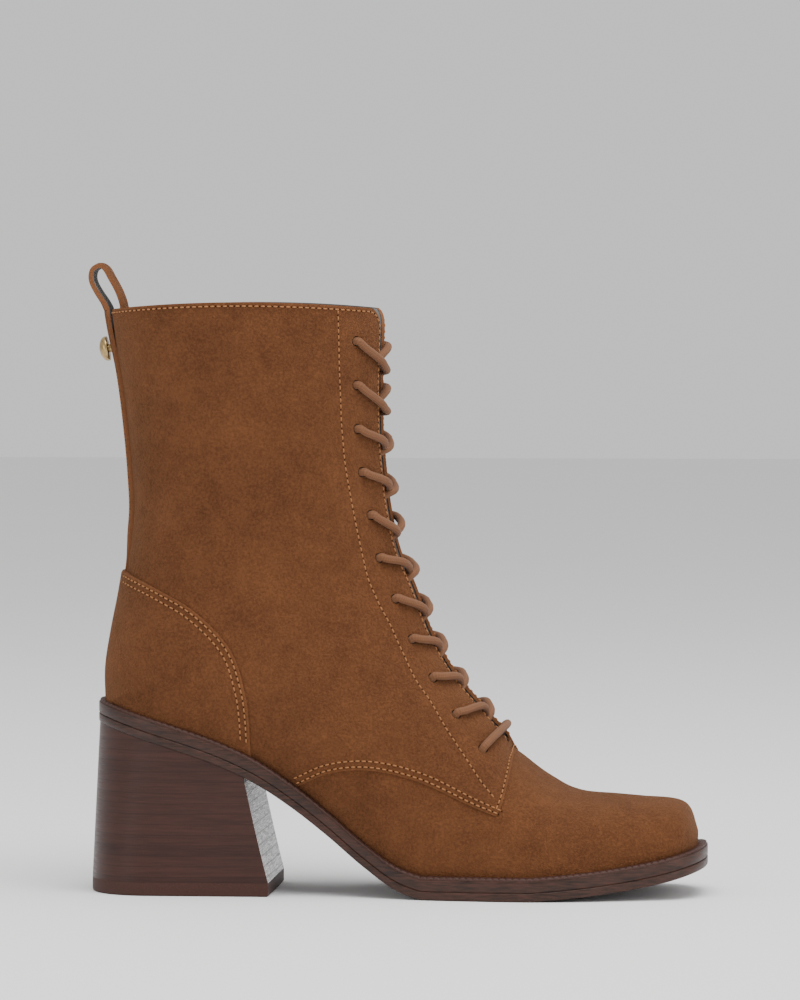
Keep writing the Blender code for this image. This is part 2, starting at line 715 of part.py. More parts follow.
def cutter_collection():
    cutters = bpy.data.collections.new("cutters")
    bpy.context.scene.collection.children.link(cutters)
    return cutters


def as_cutter(item, cutters):
    bpy.context.scene.collection.objects.unlink(item)
    cutters.objects.link(item)
    item.hide_render = True
    item.display_type = "WIRE"
    return item


def boolean(item, tool, operation):
    change = item.modifiers.new(operation.lower(), "BOOLEAN")
    change.operation = operation
    change.solver = "EXACT"
    change.object = tool
    return change


def upper_places(last):
    """Girths and shares round of the mesh points on one side, between facing edge and sole or back seam."""
    girth = np.array(VAMP_ROWS + QUARTER_ROWS + SHAFT_ROWS)[:, None]
    out = 1 - np.linspace(1, 0, UPPER_COLUMNS)[None, :] ** 1.15
    return girth + 0 * out, around_at(last, girth, out)


def ridge_places(last, girth):
    """Girths and shares round of the mesh points between the front line and the facing edge's line."""
    share = np.array([[0.0, 0.5, 1.0]])
    return girth + 0 * share, around_at(last, girth, 0.0) * share


def both_sides(last, patches, outer_lift, inner_lift, skirt=0.0):
    """Closed solid between two lifts over patches of the last, on both sides. A skirt hangs from the feather."""
    outer, inner, faces, count = [], [], [], 0
    for side in (LATERAL, MEDIAL):
        for girth, around in patches:
            sheets = [last.at(side, girth, around, lift) for lift in (outer_lift, inner_lift)]
            if skirt and around[0, -1] >= 1:
                sheets = [np.concatenate([sheet, sheet[:, -1:] - [0, 0, skirt]], axis=1) for sheet in sheets]
            index = count + np.arange(sheets[0][..., 0].size).reshape(sheets[0].shape[:2])
            outer.append(sheets[0].reshape(-1, 3))
            inner.append(sheets[1].reshape(-1, 3))
            triangles = grid_faces(index)
            faces.append(triangles if side == LATERAL else triangles[:, ::-1])
            count += index.size
    return walled(np.vstack(outer), np.vstack(inner), np.vstack(faces))


def side_prism(name, x, z, cutters):
    """Prism right across the boot over an outline in side view."""
    shape = bmesh.new()
    face = shape.faces.new([shape.verts.new((px, -PRISM_REACH, pz)) for px, pz in zip(x, z)])
    grown = bmesh.ops.extrude_face_region(shape, geom=[face])
    moved = [item for item in grown["geom"] if isinstance(item, bmesh.types.BMVert)]
    bmesh.ops.translate(shape, verts=moved, vec=(0, 2 * PRISM_REACH, 0))
    bmesh.ops.recalc_face_normals(shape, faces=shape.faces)
    mesh = bpy.data.meshes.new(name)
    shape.to_mesh(mesh)
    shape.free()
    item = bpy.data.objects.new(name, mesh)
    bpy.context.scene.collection.objects.link(item)
    return as_cutter(item, cutters)


def build_upper(last, cutters):
    """Hollow upper: vamp in front, quarters a step thicker behind their seam, slit from throat to collar."""
    girth, around = upper_places(last)
    vamp_ridge = ridge_places(last, girth[: len(VAMP_ROWS), :1])
    shell = both_sides(last, [vamp_ridge, (girth, around)], QUARTER_STEP, -UPPER_WALL)
    upper = make_object("upper", *shell, SUEDE, 0.95)
    rows = len(VAMP_ROWS) + VAMP_FORM_ROWS
    patches = [ridge_places(last, girth[:rows, :1]), (girth[:rows], around[:rows])]
    form = make_object("vamp_form", *both_sides(last, patches, 3 * QUARTER_STEP, 0.0, PRISM_MARGIN), SUEDE)
    low_x, low_z = seam_points(QUARTER_SEAM, 21)
    front_x, front_z = seam_points(FACING_FOOT, 9)
    ahead, below = LAST_LENGTH + PRISM_MARGIN, -PRISM_MARGIN
    x = np.concatenate([low_x, front_x[1:], [front_x[-1], ahead, ahead, low_x[0]]])
    z = np.concatenate([low_z, front_z[1:], [front_z[-1] + PRISM_MARGIN, front_z[-1] + PRISM_MARGIN, below, below]])
    boolean(form, side_prism("vamp_outline", x, z, cutters), "INTERSECT")
    boolean(upper, eyelet_cutter(last, cutters), "DIFFERENCE")
    boolean(upper, as_cutter(form, cutters), "DIFFERENCE")
    return upper


def eyelet_reach(girth):
    """Distance of the eyelets from the front line at these girths."""
    return THROAT_HALF_GAP + EYELET_INSET * along(EYELET_LINE, 1, girth)


def lacing_line(last):
    """Girths of the eyelets, spaced evenly down the facing from the collar."""
    girth = np.linspace(COLLAR_GIRTH, THROAT_GIRTH - 0.4, 600)
    length = np.interp(girth, last.girths, last.lengths[LATERAL])
    line = last.at(LATERAL, girth, eyelet_reach(girth) / length, QUARTER_STEP)
    gone = np.concatenate([[0], np.cumsum(np.linalg.norm(np.diff(line, axis=0), axis=1))])
    return np.interp(EYELET_DROP + EYELET_PITCH * np.arange(EYELET_PAIRS), gone, girth)


def off_front(last, girth, across, lift):
    """Point at a signed distance across from the front line, lifted off the last."""
    side = MEDIAL if across > 0 else LATERAL
    length = float(np.interp(girth, last.girths, last.lengths[side]))
    return last.at(side, girth, min(abs(across) / length, 0.98), lift)


def eyelet_cutter(last, cutters):
    shape = bmesh.new()
    for girth in lacing_line(last):
        for side in (LATERAL, MEDIAL):
            across = side * eyelet_reach(girth)
            low, high = (Vector(off_front(last, girth, across, lift)) for lift in (-0.0045, 0.0035))
            axis = high - low
            turn = axis.to_track_quat("Z", "Y").to_matrix().to_4x4()
            bmesh.ops.create_cone(
                shape, cap_ends=True, segments=8, radius1=EYELET_DIAMETER / 2, radius2=EYELET_DIAMETER / 2,
                depth=axis.length, matrix=Matrix.Translation((low + high) / 2) @ turn,
            )
    mesh = bpy.data.meshes.new("eyelet_holes")
    shape.to_mesh(mesh)
    shape.free()
    item = bpy.data.objects.new("eyelet_holes", mesh)
    bpy.context.scene.collection.objects.link(item)
    return as_cutter(item, cutters)


def build_tongue(last):
    """Lined strip behind the lacing, lying on the vamp's inside at its foot and deeper higher up."""
    girth = np.linspace(TONGUE_FOOT_GIRTH, TONGUE_TOP_GIRTH, 22)
    across = TONGUE_HALF_WIDTH * np.linspace(-1, 1, 9)
    depth = UPPER_WALL + SEAT_GAP + (TONGUE_DEPTH - UPPER_WALL - SEAT_GAP) * ramp(girth, 4.95, 5.35)
    grids = []
    for thickness in (0.0, TONGUE_THICKNESS):
        grids.append(np.array([
            [off_front(last, g, a, -d - thickness) for a in across] for g, d in zip(girth, depth)
        ]))
    index = np.arange(grids[0].shape[0] * grids[0].shape[1]).reshape(grids[0].shape[:2])
    points, faces = walled(grids[0].reshape(-1, 3), grids[1].reshape(-1, 3), grid_faces(index))
    return make_object("tongue", points, faces, SUEDE, 0.95)


def build_counter(last, cutters):
    """Overlay round the heel, cut from a shell just off the quarters along its own seam."""
    low = QUARTER_STEP + OVERLAY_GAP
    high = low + COUNTER_THICKNESS
    girth, around = upper_places(last)
    rows = slice(len(VAMP_ROWS) + COUNTER_FIRST_ROW, len(VAMP_ROWS) + len(QUARTER_ROWS) + COUNTER_LAST_ROW)
    patch = (girth[rows, COUNTER_COLUMN:], around[rows, COUNTER_COLUMN:])
    counter = make_object("counter", *both_sides(last, [patch], high, low), SUEDE, 0.95)
    x, z = seam_points(COUNTER_SEAM, 33)
    back, below = -PRISM_MARGIN, HEEL_RISE / 2
    x = np.concatenate([[x[0], back, back], x[::-1]])
    z = np.concatenate([[below, below, z[-1]], z[::-1]])
    boolean(counter, side_prism("counter_outline", x, z, cutters), "INTERSECT")
    return counter


def stay_section(last, girth, lift, fraction):
    """Points across the back seam at one girth."""
    across = STAY_WIDTH / 2 * fraction
    points = []
    for value in across:
        side = MEDIAL if value > 0 else LATERAL
        length = float(np.interp(girth, last.girths, last.lengths[side]))
        points.append(last.at(side, girth, 1 - abs(value) / length, lift))
    return np.array(points)


def build_stay(last):
    """Back strip from the counter to the collar, turned over above it as the pull loop and down inside."""
    fraction = np.linspace(-1, 1, 7)
    outside = QUARTER_STEP + OVERLAY_GAP
    inside = -(UPPER_WALL + OVERLAY_GAP)
    low = float(last.find(LATERAL, [back_seam(STAY_FOOT)[0]], [back_seam(STAY_FOOT)[1]])[0][0])
    outer, inner = [], []
    for girth in np.linspace(low, COLLAR_GIRTH, 15):
        thick = STAY_THICKNESS + (LOOP_THICKNESS - STAY_THICKNESS) * ramp(girth, LOOP_END_GIRTH, COLLAR_GIRTH)
        outer.append(stay_section(last, girth, outside + thick, fraction))
        inner.append(stay_section(last, girth, outside, fraction))
    start = (outer[-1] + inner[-1]) / 2
    for girth in np.linspace(COLLAR_GIRTH, LOOP_END_GIRTH, 4):
        outer.append(stay_section(last, girth, inside - LOOP_THICKNESS, fraction))
        inner.append(stay_section(last, girth, inside, fraction))
    end = (outer[-4] + inner[-4]) / 2
    path = np.array([(-LOOP_LEAN * lean, LOOP_HEIGHT * up) for lean, up in LOOP_PATH])
    centre = start[3, [0, 2]] + path
    gap = end[3, 0] - start[3, 0]
    centre[:, 0] += (gap - path[-1, 0]) * ramp(np.arange(len(path)), len(path) - 5, len(path) - 1)
    centre[:, 1] += (end[3, 2] - start[3, 2]) * ramp(np.arange(len(path)), len(path) - 5, len(path) - 1)
    steps = np.gradient(centre, axis=0)
    steps /= np.linalg.norm(steps, axis=1, keepdims=True)
    normal = np.stack([-steps[:, 1], steps[:, 0]], axis=1)
    loop_outer, loop_inner = [], []
    for place in range(1, len(path) - 1):
        fade = abs(2 * place / (len(path) - 1) - 1) ** 2
        ends = start if place < len(path) / 2 else end
        sag = (ends[:, 0] - ends[3, 0]) * fade
        y = ends[:, 1] * fade + STAY_WIDTH / 2 * fraction * (1 - fade)
        for target, shift in ((loop_outer, 0.5), (loop_inner, -0.5)):
            x = centre[place, 0] + sag + normal[place, 0] * LOOP_THICKNESS * shift
            z = centre[place, 1] + normal[place, 1] * LOOP_THICKNESS * shift
            target.append(np.stack([x, y, z + 0 * y], axis=1))
    outer = outer[:15] + loop_outer + outer[15:]
    inner = inner[:15] + loop_inner + inner[15:]
    outer, inner = np.array(outer), np.array(inner)
    index = np.arange(outer.shape[0] * outer.shape[1]).reshape(outer.shape[:2])
    points, faces = walled(outer.reshape(-1, 3), inner.reshape(-1, 3), grid_faces(index))
    return make_object("back_stay", points, faces, SUEDE, 0.95)


def build_stud(last):
    """Domed stud on a short post, turned about the back seam's normal."""
    height = (SHAFT_HEIGHT - STUD_DROP) / SHAFT_HEIGHT
    girth = float(last.find(LATERAL, [back_seam(height)[0]], [back_seam(height)[1]])[0][0])
    foot = last.at(LATERAL, girth, 1.0, QUARTER_STEP + OVERLAY_GAP + STAY_THICKNESS + STUD_GAP)
    axis = Vector(foot - last.at(LATERAL, girth, 1.0, 0.0)).normalized()
    turn = np.linspace(0, math.pi / 2, 6)
    dome_foot = STUD_POST_LENGTH + 0.0004
    profile = [(0.0, 0.0), (STUD_POST_DIAMETER / 2, 0.0), (STUD_POST_DIAMETER / 2, STUD_POST_LENGTH)]
    profile += [(STUD_DIAMETER / 2 - 0.0003, STUD_POST_LENGTH)]
    profile += [
        (STUD_DIAMETER / 2 * math.cos(t), dome_foot + STUD_DOME * math.sin(t)) for t in turn
    ]
    shape = bmesh.new()
    verts = [shape.verts.new((radius, 0, height)) for radius, height in profile]
    edges = [shape.edges.new(pair) for pair in zip(verts, verts[1:])]
    bmesh.ops.spin(
        shape, geom=verts + edges, cent=(0, 0, 0), axis=(0, 0, 1), angle=2 * math.pi, steps=18,
    )
    bmesh.ops.remove_doubles(shape, verts=shape.verts, dist=MERGE)
    rotation = axis.to_track_quat("Z", "Y").to_matrix().to_4x4()
    shape.transform(Matrix.Translation(Vector(foot)) @ rotation)
    points = [tuple(vert.co) for vert in shape.verts]
    shape.verts.index_update()
    faces = [[vert.index for vert in face.verts] for face in shape.faces]
    shape.free()
    return make_object("stud", points, faces, BRASS, 0.35, 1.0)


def tube(path, radius, sides=6):
    """Round cord along a path, with flat ends, as points and faces."""
    path = np.asarray(path)
    step = np.gradient(path, axis=0)
    step /= np.linalg.norm(step, axis=1, keepdims=True)
    side = np.cross(step[0], (0.0, 0.0, 1.0))
    rings = []
    for point, heading in zip(path, step):
        side = side - heading * np.dot(side, heading)
        side /= np.linalg.norm(side)
        other = np.cross(heading, side)
        turn = np.linspace(0, 2 * math.pi, sides, endpoint=False)
        rings.append(point + radius * (np.cos(turn)[:, None] * side + np.sin(turn)[:, None] * other))
    points = np.concatenate(rings)
    index = np.arange(len(points)).reshape(len(path), sides)
    faces = grid_faces(np.hstack([index, index[:, :1]])).tolist()
    return points, faces + [list(index[0]), list(index[-1][::-1])]


def strand_across(girth, share):
    """Distance from the front line at a share of the way to the eyelets, with the facing's edge at a fixed share."""
    edge = THROAT_HALF_GAP / (THROAT_HALF_GAP + EYELET_INSET)
    in_gap = THROAT_HALF_GAP * np.minimum(np.abs(share) / edge, 1)
    past_edge = np.maximum(np.abs(share) - edge, 0) / (1 - edge)
    return np.sign(share) * (in_gap + (eyelet_reach(girth) - THROAT_HALF_GAP) * past_edge)


def strand_path(last, girths, side):
    """Lace from above one eyelet, over the facing's edge and under the other facing to the next eyelet."""
    over = QUARTER_STEP + SEAT_GAP + LACE_DIAMETER / 2 + LACE_LIFT
    under = -(UPPER_WALL + SEAT_GAP + LACE_LIFT + LACE_DIAMETER / 2)
    share, high = column(STRAND, 0), column(STRAND, 1)
    girth = girths[0] + (girths[1] - girths[0]) * (share + 1) / 2
    lift = under + (over - under) * high
    across = side * strand_across(girth, share)
    return [off_front(last, g, a, h) for g, a, h in zip(girth, across, lift)]


def build_laces(last, cutters):
    """Straight bar at the lowest pair of eyelets and a crossing from every pair above it."""
    girths = lacing_line(last)
    radius = LACE_DIAMETER / 2
    for place in range(EYELET_PAIRS - 1):
        pair = (girths[place], girths[place + 1])
        first, other = (strand_path(last, pair, side) for side in (MEDIAL, LATERAL))
        cross = make_object(f"lace_cross_{place + 1:02d}", *tube(first, radius), LACE_BROWN, 0.9)
        second = make_object(f"lace_second_{place + 1:02d}", *tube(other, radius), LACE_BROWN, 0.9)
        boolean(cross, as_cutter(second, cutters), "UNION")
    over = QUARTER_STEP + SEAT_GAP + radius + LACE_LIFT
    reach = eyelet_reach(girths[-1])
    bar = [off_front(last, girths[-1], a, over) for a in reach * np.linspace(-1, 1, 9)]
    make_object("lace_bar", *tube(bar, radius), LACE_BROWN, 0.9)


def centre_boot():
    """Move every mesh so that the origin is the middle of the boot's footprint on the floor."""
    pieces = [item for item in bpy.context.scene.collection.objects if item.type == "MESH"]
    corners = np.array([vert.co for item in pieces for vert in item.data.vertices])
    low, high = corners.min(axis=0), corners.max(axis=0)
    middle = (low + high) / 2
    shift = Matrix.Translation((-middle[0], -middle[1], -low[2]))
    for mesh in bpy.data.meshes:
        mesh.transform(shift)


def main():
    for item in list(bpy.data.objects):
        bpy.data.objects.remove(item)
    for mesh in list(bpy.data.meshes):
        bpy.data.meshes.remove(mesh)
    last = Last()
    cutters = cutter_collection()
    build_sole()
    build_welt(last)
    build_heel()
    build_upper(last, cutters)
    build_tongue(last)
    build_counter(last, cutters)
    build_stay(last)
    build_stud(last)
    build_laces(last, cutters)
    centre_boot()


main()
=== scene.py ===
"""Suede lace-up ankle boot, right foot: its surfaces, stitching, lacing and finishes.

The boot's surfaces are functions of two numbers on the last, the foot form: the girth (0 at the toe, 5 at
the throat, 10 at the heel corner, 16 at the collar) and the share of the way round from the front line to
the sole or the back seam. Lengths are metres. They are worked out in the last's frame, X forward from the
back of the heel seat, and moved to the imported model's frame at the end.
"""

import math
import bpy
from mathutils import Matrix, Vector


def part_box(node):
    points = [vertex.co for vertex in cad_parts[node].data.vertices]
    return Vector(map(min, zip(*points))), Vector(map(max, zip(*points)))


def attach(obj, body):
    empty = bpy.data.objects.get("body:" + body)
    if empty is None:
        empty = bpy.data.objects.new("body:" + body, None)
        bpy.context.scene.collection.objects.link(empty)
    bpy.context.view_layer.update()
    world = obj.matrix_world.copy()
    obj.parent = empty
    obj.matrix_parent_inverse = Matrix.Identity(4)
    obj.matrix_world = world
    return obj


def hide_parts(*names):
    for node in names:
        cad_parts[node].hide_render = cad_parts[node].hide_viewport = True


bl_info = {
    "name": "Lace-up ankle boot",
    "version": (1, 0, 0),
    "blender": (4, 5, 0),
    "location": "3D View > Sidebar > Boot",
    "description": "Suede lace-up ankle boot: upper, lacing, stitching, sole and heel over its solids",
    "category": "Add Mesh",
}

import bpy
import numpy as np

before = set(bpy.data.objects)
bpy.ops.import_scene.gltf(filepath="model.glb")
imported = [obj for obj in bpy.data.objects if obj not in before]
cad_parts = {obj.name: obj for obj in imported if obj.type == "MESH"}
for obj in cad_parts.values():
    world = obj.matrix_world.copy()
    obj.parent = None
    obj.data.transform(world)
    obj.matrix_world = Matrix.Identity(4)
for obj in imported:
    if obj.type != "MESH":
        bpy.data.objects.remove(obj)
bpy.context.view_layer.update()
BODY = "root"
LATERAL, MEDIAL = -1, 1

# The last and the layers on it, as in the solids.
LAST_LENGTH = 0.2352
BALL_WIDTH = 0.0790
HEEL_WIDTH = 0.0550
COLLAR_WIDTH = 0.0710
INSTEP_HEIGHT = 0.0492
SHAFT_HEIGHT = 0.1580
COLLAR_CROWN = 0.0028
HEEL_RISE = 0.0666
TOE_SPRING = 0.0100
TOE_CAP_DEPTH = 0.0150
HEEL_CAP_DEPTH = 0.0290
OUTSOLE_THICKNESS = 0.0034
MIDSOLE_THICKNESS = 0.0044
WELT_OVERHANG = 0.0038
HEEL_SEAT_EXTRA = 0.0017
SEAT_GAP = 0.0003
UPPER_WALL = 0.0022
QUARTER_STEP = 0.0009
OVERLAY_GAP = 0.0009
COUNTER_THICKNESS = 0.0010
HEEL_EASE = 0.08
THROAT_GIRTH, HEEL_GIRTH, COLLAR_GIRTH = 5.0, 10.0, 16.0
CROWN_FROM_GIRTH = 13.0
LEVEL_ABOVE_FEATHER = 0.009
SLIT_END_GIRTH = 5.12

# Facing and lacing.
EYELET_PAIRS = 11
EYELET_PITCH = 0.0174
EYELET_DROP = 0.0136
EYELET_INSET = 0.0096
THROAT_HALF_GAP = 0.0100
FACING_CORNER = 0.0095
TOE_SHARE = 0.22

# Block heel.
HEEL_TOP_LENGTH = 0.0614
HEEL_TOP_BACK = 0.0053
HEEL_SEAT_SET_IN = 0.0004
HEEL_ROUND_SHARE = 0.42
HEEL_FOOT_LENGTH = 0.0738
HEEL_FOOT_BACK = 0.0081
HEEL_FOOT_WIDTH = 0.0620
TOP_PIECE_THICKNESS = 0.0055

# Back strip, its pull loop and its stud.
STAY_WIDTH = 0.0136
LOOP_THICKNESS = 0.0022
LOOP_END_GIRTH = 15.3
LOOP_HEIGHT = 0.0178
LOOP_LEAN = 0.0063
STUD_DIAMETER = 0.0100
STUD_DOME = 0.0030
STUD_POST_DIAMETER = 0.0034
STUD_POST_LENGTH = 0.0010
STUD_DROP = 0.0150

# Tongue and insole.
TONGUE_DEPTH = 0.0064
TONGUE_HALF_WIDTH = 0.0250
TONGUE_THICKNESS = 0.0016
TONGUE_FOOT_GIRTH, TONGUE_TOP_GIRTH = 4.50, 15.65
INSOLE_GAP = 0.0009
INSOLE_THICKNESS = 0.0025

# Layers of the suede upper, as lifts off the last.
SUEDE_BACK = -0.0006
LINING_STEP_DOWN = 0.0004
VAMP_TUCK = 0.0040
VAMP_TUCK_EASE = 0.0020
LAYER_GAP = 0.0001
EDGE_DROP = 0.0003
EDGE_DROP_WIDTH = 0.0012
COUNTER_EDGE_WIDTH = 0.0010
COUNTER_EDGE = 0.0011
COUNTER_EDGE_AT_SEAM = 0.0009
COUNTER_EASE = (0.001, 0.012)

# Where each sheet of the upper ends, in girths, and how fast the slit opens above its end, a girth.
QUARTER_FOOT_GIRTH = 4.0
VAMP_TOP_GIRTH = 8.2
COUNTER_GIRTHS = (7.0, 13.6)
SLIT_TAPER = 0.011

# Back strip: share of the shaft's height at its foot, and its lift where it passes under the counter.
STRIP_FOOT = 0.320
STRIP_THIN = 0.0007
STRIP_EDGE = 0.0002
STRIP_CROWN = 0.0010
STRIP_INSIDE_GAP = 0.0003

# Girths over which the tongue sinks from the vamp's inside to its own depth.
TONGUE_SINK = (4.95, 5.35)

# Edge profiles of the sole's layers, from top to bottom: inset from the outline and share of the height.
OUTSOLE_EDGE = (
    (0.0004, 1.0), (0.0001, 0.97), (0.0, 0.90), (0.0, 0.5), (0.0, 0.12), (0.0003, 0.03), (0.0008, 0.0),
)
MIDSOLE_EDGE = (
    (0.0006, 1.0), (0.0001, 0.97), (0.0, 0.88), (0.0, 0.16), (0.0001, 0.10), (0.0003, 0.06), (0.0004, 0.0),
)
SOCK_EDGE = ((0.0030, 1.0), (0.0012, 0.97), (0.0003, 0.80), (0.0, 0.5), (0.0002, 0.0))

# Section of the welt's bead: share of the way out, share of its height, and how far a notch cuts in.
WELT_SECTION = (
    (0.0, -0.1, 0.0), (0.0, 1.0, 0.0), (0.55, 1.0, 0.6), (0.85, 0.92, 1.0), (0.98, 0.66, 1.0),
    (1.0, -0.1, 0.6),
)

# Lowest bar of the lace: share of the way across, and how far under the height of a lace on the suede.
BAR_DROPS = (
    (1.0, 0.0008), (0.90, 0.0), (0.6, -0.0003), (0.3, -0.0002), (0.0, 0.0),
    (-0.3, -0.0002), (-0.6, -0.0003), (-0.90, 0.0), (-1.0, 0.0008),
)

# Unevenness of the suede between its folds.
UNEVEN = 0.00010

# Welt: how far it reaches under the upper, and how far the sole stands out past it.
WELT_TUCK = 0.0006
WELT_SET_IN = 0.0005

# Wheeled edge of the welt: distance from notch to notch, depth of a notch and points in a pitch.
WELT_PITCH = 0.0026
WELT_NOTCH = 0.34
WELT_STEPS = 7

# Heel block: a face belongs to its breast where this share of its normal points toward the toe.
BREAST_FACING = 0.8
BREAST_RIBS = 25
HEEL_ROUND_POWER = 2.2

# Edge of the top piece, from the middle of its underside to the middle of its top: share of the way in to
# the middle, and height.
TOP_PIECE_EDGE = (
    (1.0, 0.0), (0.02, 0.0), (1 / 300, 0.0003), (0.0, 0.0010), (0.0, 0.5 * TOP_PIECE_THICKNESS),
    (0.0, 0.9 * TOP_PIECE_THICKNESS), (1 / 300, TOP_PIECE_THICKNESS), (1.0, TOP_PIECE_THICKNESS),
)

# Sewn rows: distance from the edge of the first and second row, and of a single row.
ROW_INSETS = (0.0013, 0.0036)
ROW_INSETS_FRONT = (0.0011, 0.0027)
FACING_INSET = 0.0015
STRIP_ROW_INSET = 0.0014

# Strip's rows: girths from its foot to where they start, girth where they end, and lift over the counter.
STRIP_ROW_START = 0.95
STRIP_ROW_END_GIRTH = 15.2
STRIP_ROW_LIFT = 0.0008

# Length round the last that the counter's rows are measured on where they stop at the strip.
COUNTER_ROW_ROUND = 0.11
NEEDLE_HOLE_RADIUS = 0.00030

# Lace tube: distance from ring to ring and points in a ring. Its yarns: length of a turn, and how many.
LACE_STEP = 0.0007
LACE_SIDES = 12
YARN_TURN = 0.0016
YARNS = 6.0

# Layers of the stacked heel: height of a layer, and how far it waves up and down.
STACK_LAYER = 0.0042
STACK_WAVE = 0.0016

# Lighter band along the suede's edges: width and colour.
LIGHT_EDGE_WIDTH = 0.0011
LIGHT_EDGE_TONE = (0.27, 0.110, 0.044)

SOLE_LINE = [
    # station, heel share, toe share
    (-0.03, 1.026, 0.00),
    (0.00, 1.000, 0.00),
    (0.06, 0.938, 0.00),
    (0.13, 0.863, 0.00),
    (0.20, 0.775, 0.00),
    (0.26, 0.672, 0.00),
    (0.32, 0.530, 0.00),
    (0.38, 0.365, 0.00),
    (0.44, 0.190, 0.00),
    (0.50, 0.048, 0.00),
    (0.54, 0.000, 0.00),
    (0.72, 0.000, 0.00),
    (0.80, 0.000, 0.16),
    (0.88, 0.000, 0.40),
    (0.95, 0.000, 0.72),
    (1.00, 0.000, 1.04),
    (1.03, 0.000, 1.26),
]
FOOTPRINT = [
    # station, lateral, medial
    (0.00, 0.955, 0.955),
    (0.10, 0.985, 0.985),
    (0.20, 1.010, 0.990),
    (0.30, 0.960, 0.900),
    (0.40, 0.900, 0.760),
    (0.50, 0.900, 0.765),
    (0.58, 0.930, 0.870),
    (0.66, 0.985, 0.960),
    (0.73, 1.000, 1.000),
    (0.80, 0.955, 0.985),
    (0.88, 0.835, 0.885),
    (0.95, 0.720, 0.755),
    (1.00, 0.645, 0.665),
]
GIRTHS = [
    # front, rise, back, lateral, medial, widest, front_round, back_round
    (1.000, 0.120, -1.000, 0.66, 0.68, 0.66, 2.6, 2.6),
    (0.976, 0.380, -0.960, 0.73, 0.76, 0.68, 2.6, 2.6),
    (0.905, 0.510, -0.885, 0.85, 0.90, 0.70, 2.5, 2.6),
    (0.800, 0.622, -0.800, 0.98, 1.00, 0.70, 2.4, 2.6),
    (0.748, 0.765, -0.730, 1.02, 1.02, 0.68, 2.3, 2.6),
    (0.6845, 1.000, -0.640, 1.01, 0.99, 0.64, 2.2, 2.5),
    (0.6450, 1.076, -0.550, 0.97, 0.94, 0.60, 2.2, 2.4),
    (0.5910, 1.163, -0.440, 0.92, 0.89, 0.58, 2.2, 2.4),
    (0.5500, 1.262, -0.300, 0.87, 0.86, 0.60, 2.2, 2.4),
    (0.5245, 1.365, -0.140, 0.865, 0.865, 0.62, 2.2, 2.4),
    (0.4990, 1.455, 0.000, 0.86, 0.86, 0.61, 2.2, 2.4),
    (0.4840, 1.535, 0.160, 0.86, 0.86, 0.59, 2.2, 2.3),
    (0.4740, 1.620, 0.330, 0.87, 0.87, 0.57, 2.2, 2.2),
    (0.4675, 1.708, 0.470, 0.89, 0.89, 0.56, 2.2, 2.2),
    (0.4650, 1.803, 0.630, 0.93, 0.93, 0.55, 2.2, 2.2),
    (0.4650, 1.900, 0.810, 0.97, 0.97, 0.54, 2.2, 2.2),
    (0.4690, 2.000, 1.000, 1.00, 1.00, 0.53, 2.2, 2.2),
]
# Distance from the facing's edge to the eyelets, as a share of the inset, down the lacing.
EYELET_LINE = [
    # girth, share
    (5.0, 2.26),
    (5.7, 2.02),
    (6.6, 1.68),
    (7.3, 1.36),
    (8.1, 1.16),
    (9.0, 1.11),
    (10.0, 1.03),
    (11.2, 0.99),
    (12.3, 1.18),
    (13.4, 1.34),
    (14.4, 1.41),
    (15.3, 1.50),
    (16.0, 1.55),
]
BACK_SEAM = [
    # height, set_in
    (0.00, 0.0000),
    (0.09, -0.0010),
    (0.18, 0.0080),
    (0.27, 0.0200),
    (0.33, 0.0275),
    (0.41, 0.0360),
    (0.49, 0.0410),
    (0.58, 0.0385),
    (0.70, 0.0315),
    (0.82, 0.0215),
    (0.92, 0.0100),
    (1.00, 0.0030),
]
QUARTER_SEAM = [
    # station, height
    (0.328, 0.1880),
    (0.385, 0.2130),
    (0.455, 0.2185),
    (0.537, 0.2000),
    (0.621, 0.1620),
    (0.668, 0.1430),
]
FACING_FOOT = [
    # station, height
    (0.668, 0.1430),
    (0.679, 0.1740),
    (0.686, 0.2110),
    (0.688, 0.2360),
    (0.690, 0.2560),
]
COUNTER_SEAM = [
    # station, height
    (0.250, 0.237),
    (0.248, 0.300),
    (0.240, 0.355),
    (0.216, 0.422),
    (0.159, 0.483),
    (0.100, 0.5180),
    (0.030, 0.549),
]
FACING_ROW = [
    # station, height
    (0.394, 0.988),
    (0.397, 0.914),
    (0.399, 0.850),
    (0.401, 0.786),
    (0.409, 0.711),
    (0.437, 0.565),
    (0.458, 0.509),
    (0.484, 0.457),
    (0.503, 0.417),
    (0.525, 0.371),
    (0.551, 0.334),
    (0.578, 0.289),
    (0.604, 0.252),
    (0.638, 0.203),
    (0.662, 0.173),
]
LOOP_PATH = [
    # lean, height
    (0.00, 0.00),
    (0.20, 0.17),
    (0.60, 0.40),
    (0.88, 0.60),
    (0.95, 0.75),
    (0.84, 0.90),
    (0.56, 0.98),
    (0.32, 1.00),
    (0.04, 0.93),
    (-0.18, 0.80),
    (-0.36, 0.63),
    (-0.48, 0.43),
    (-0.56, 0.20),
    (-0.60, 0.00),
]
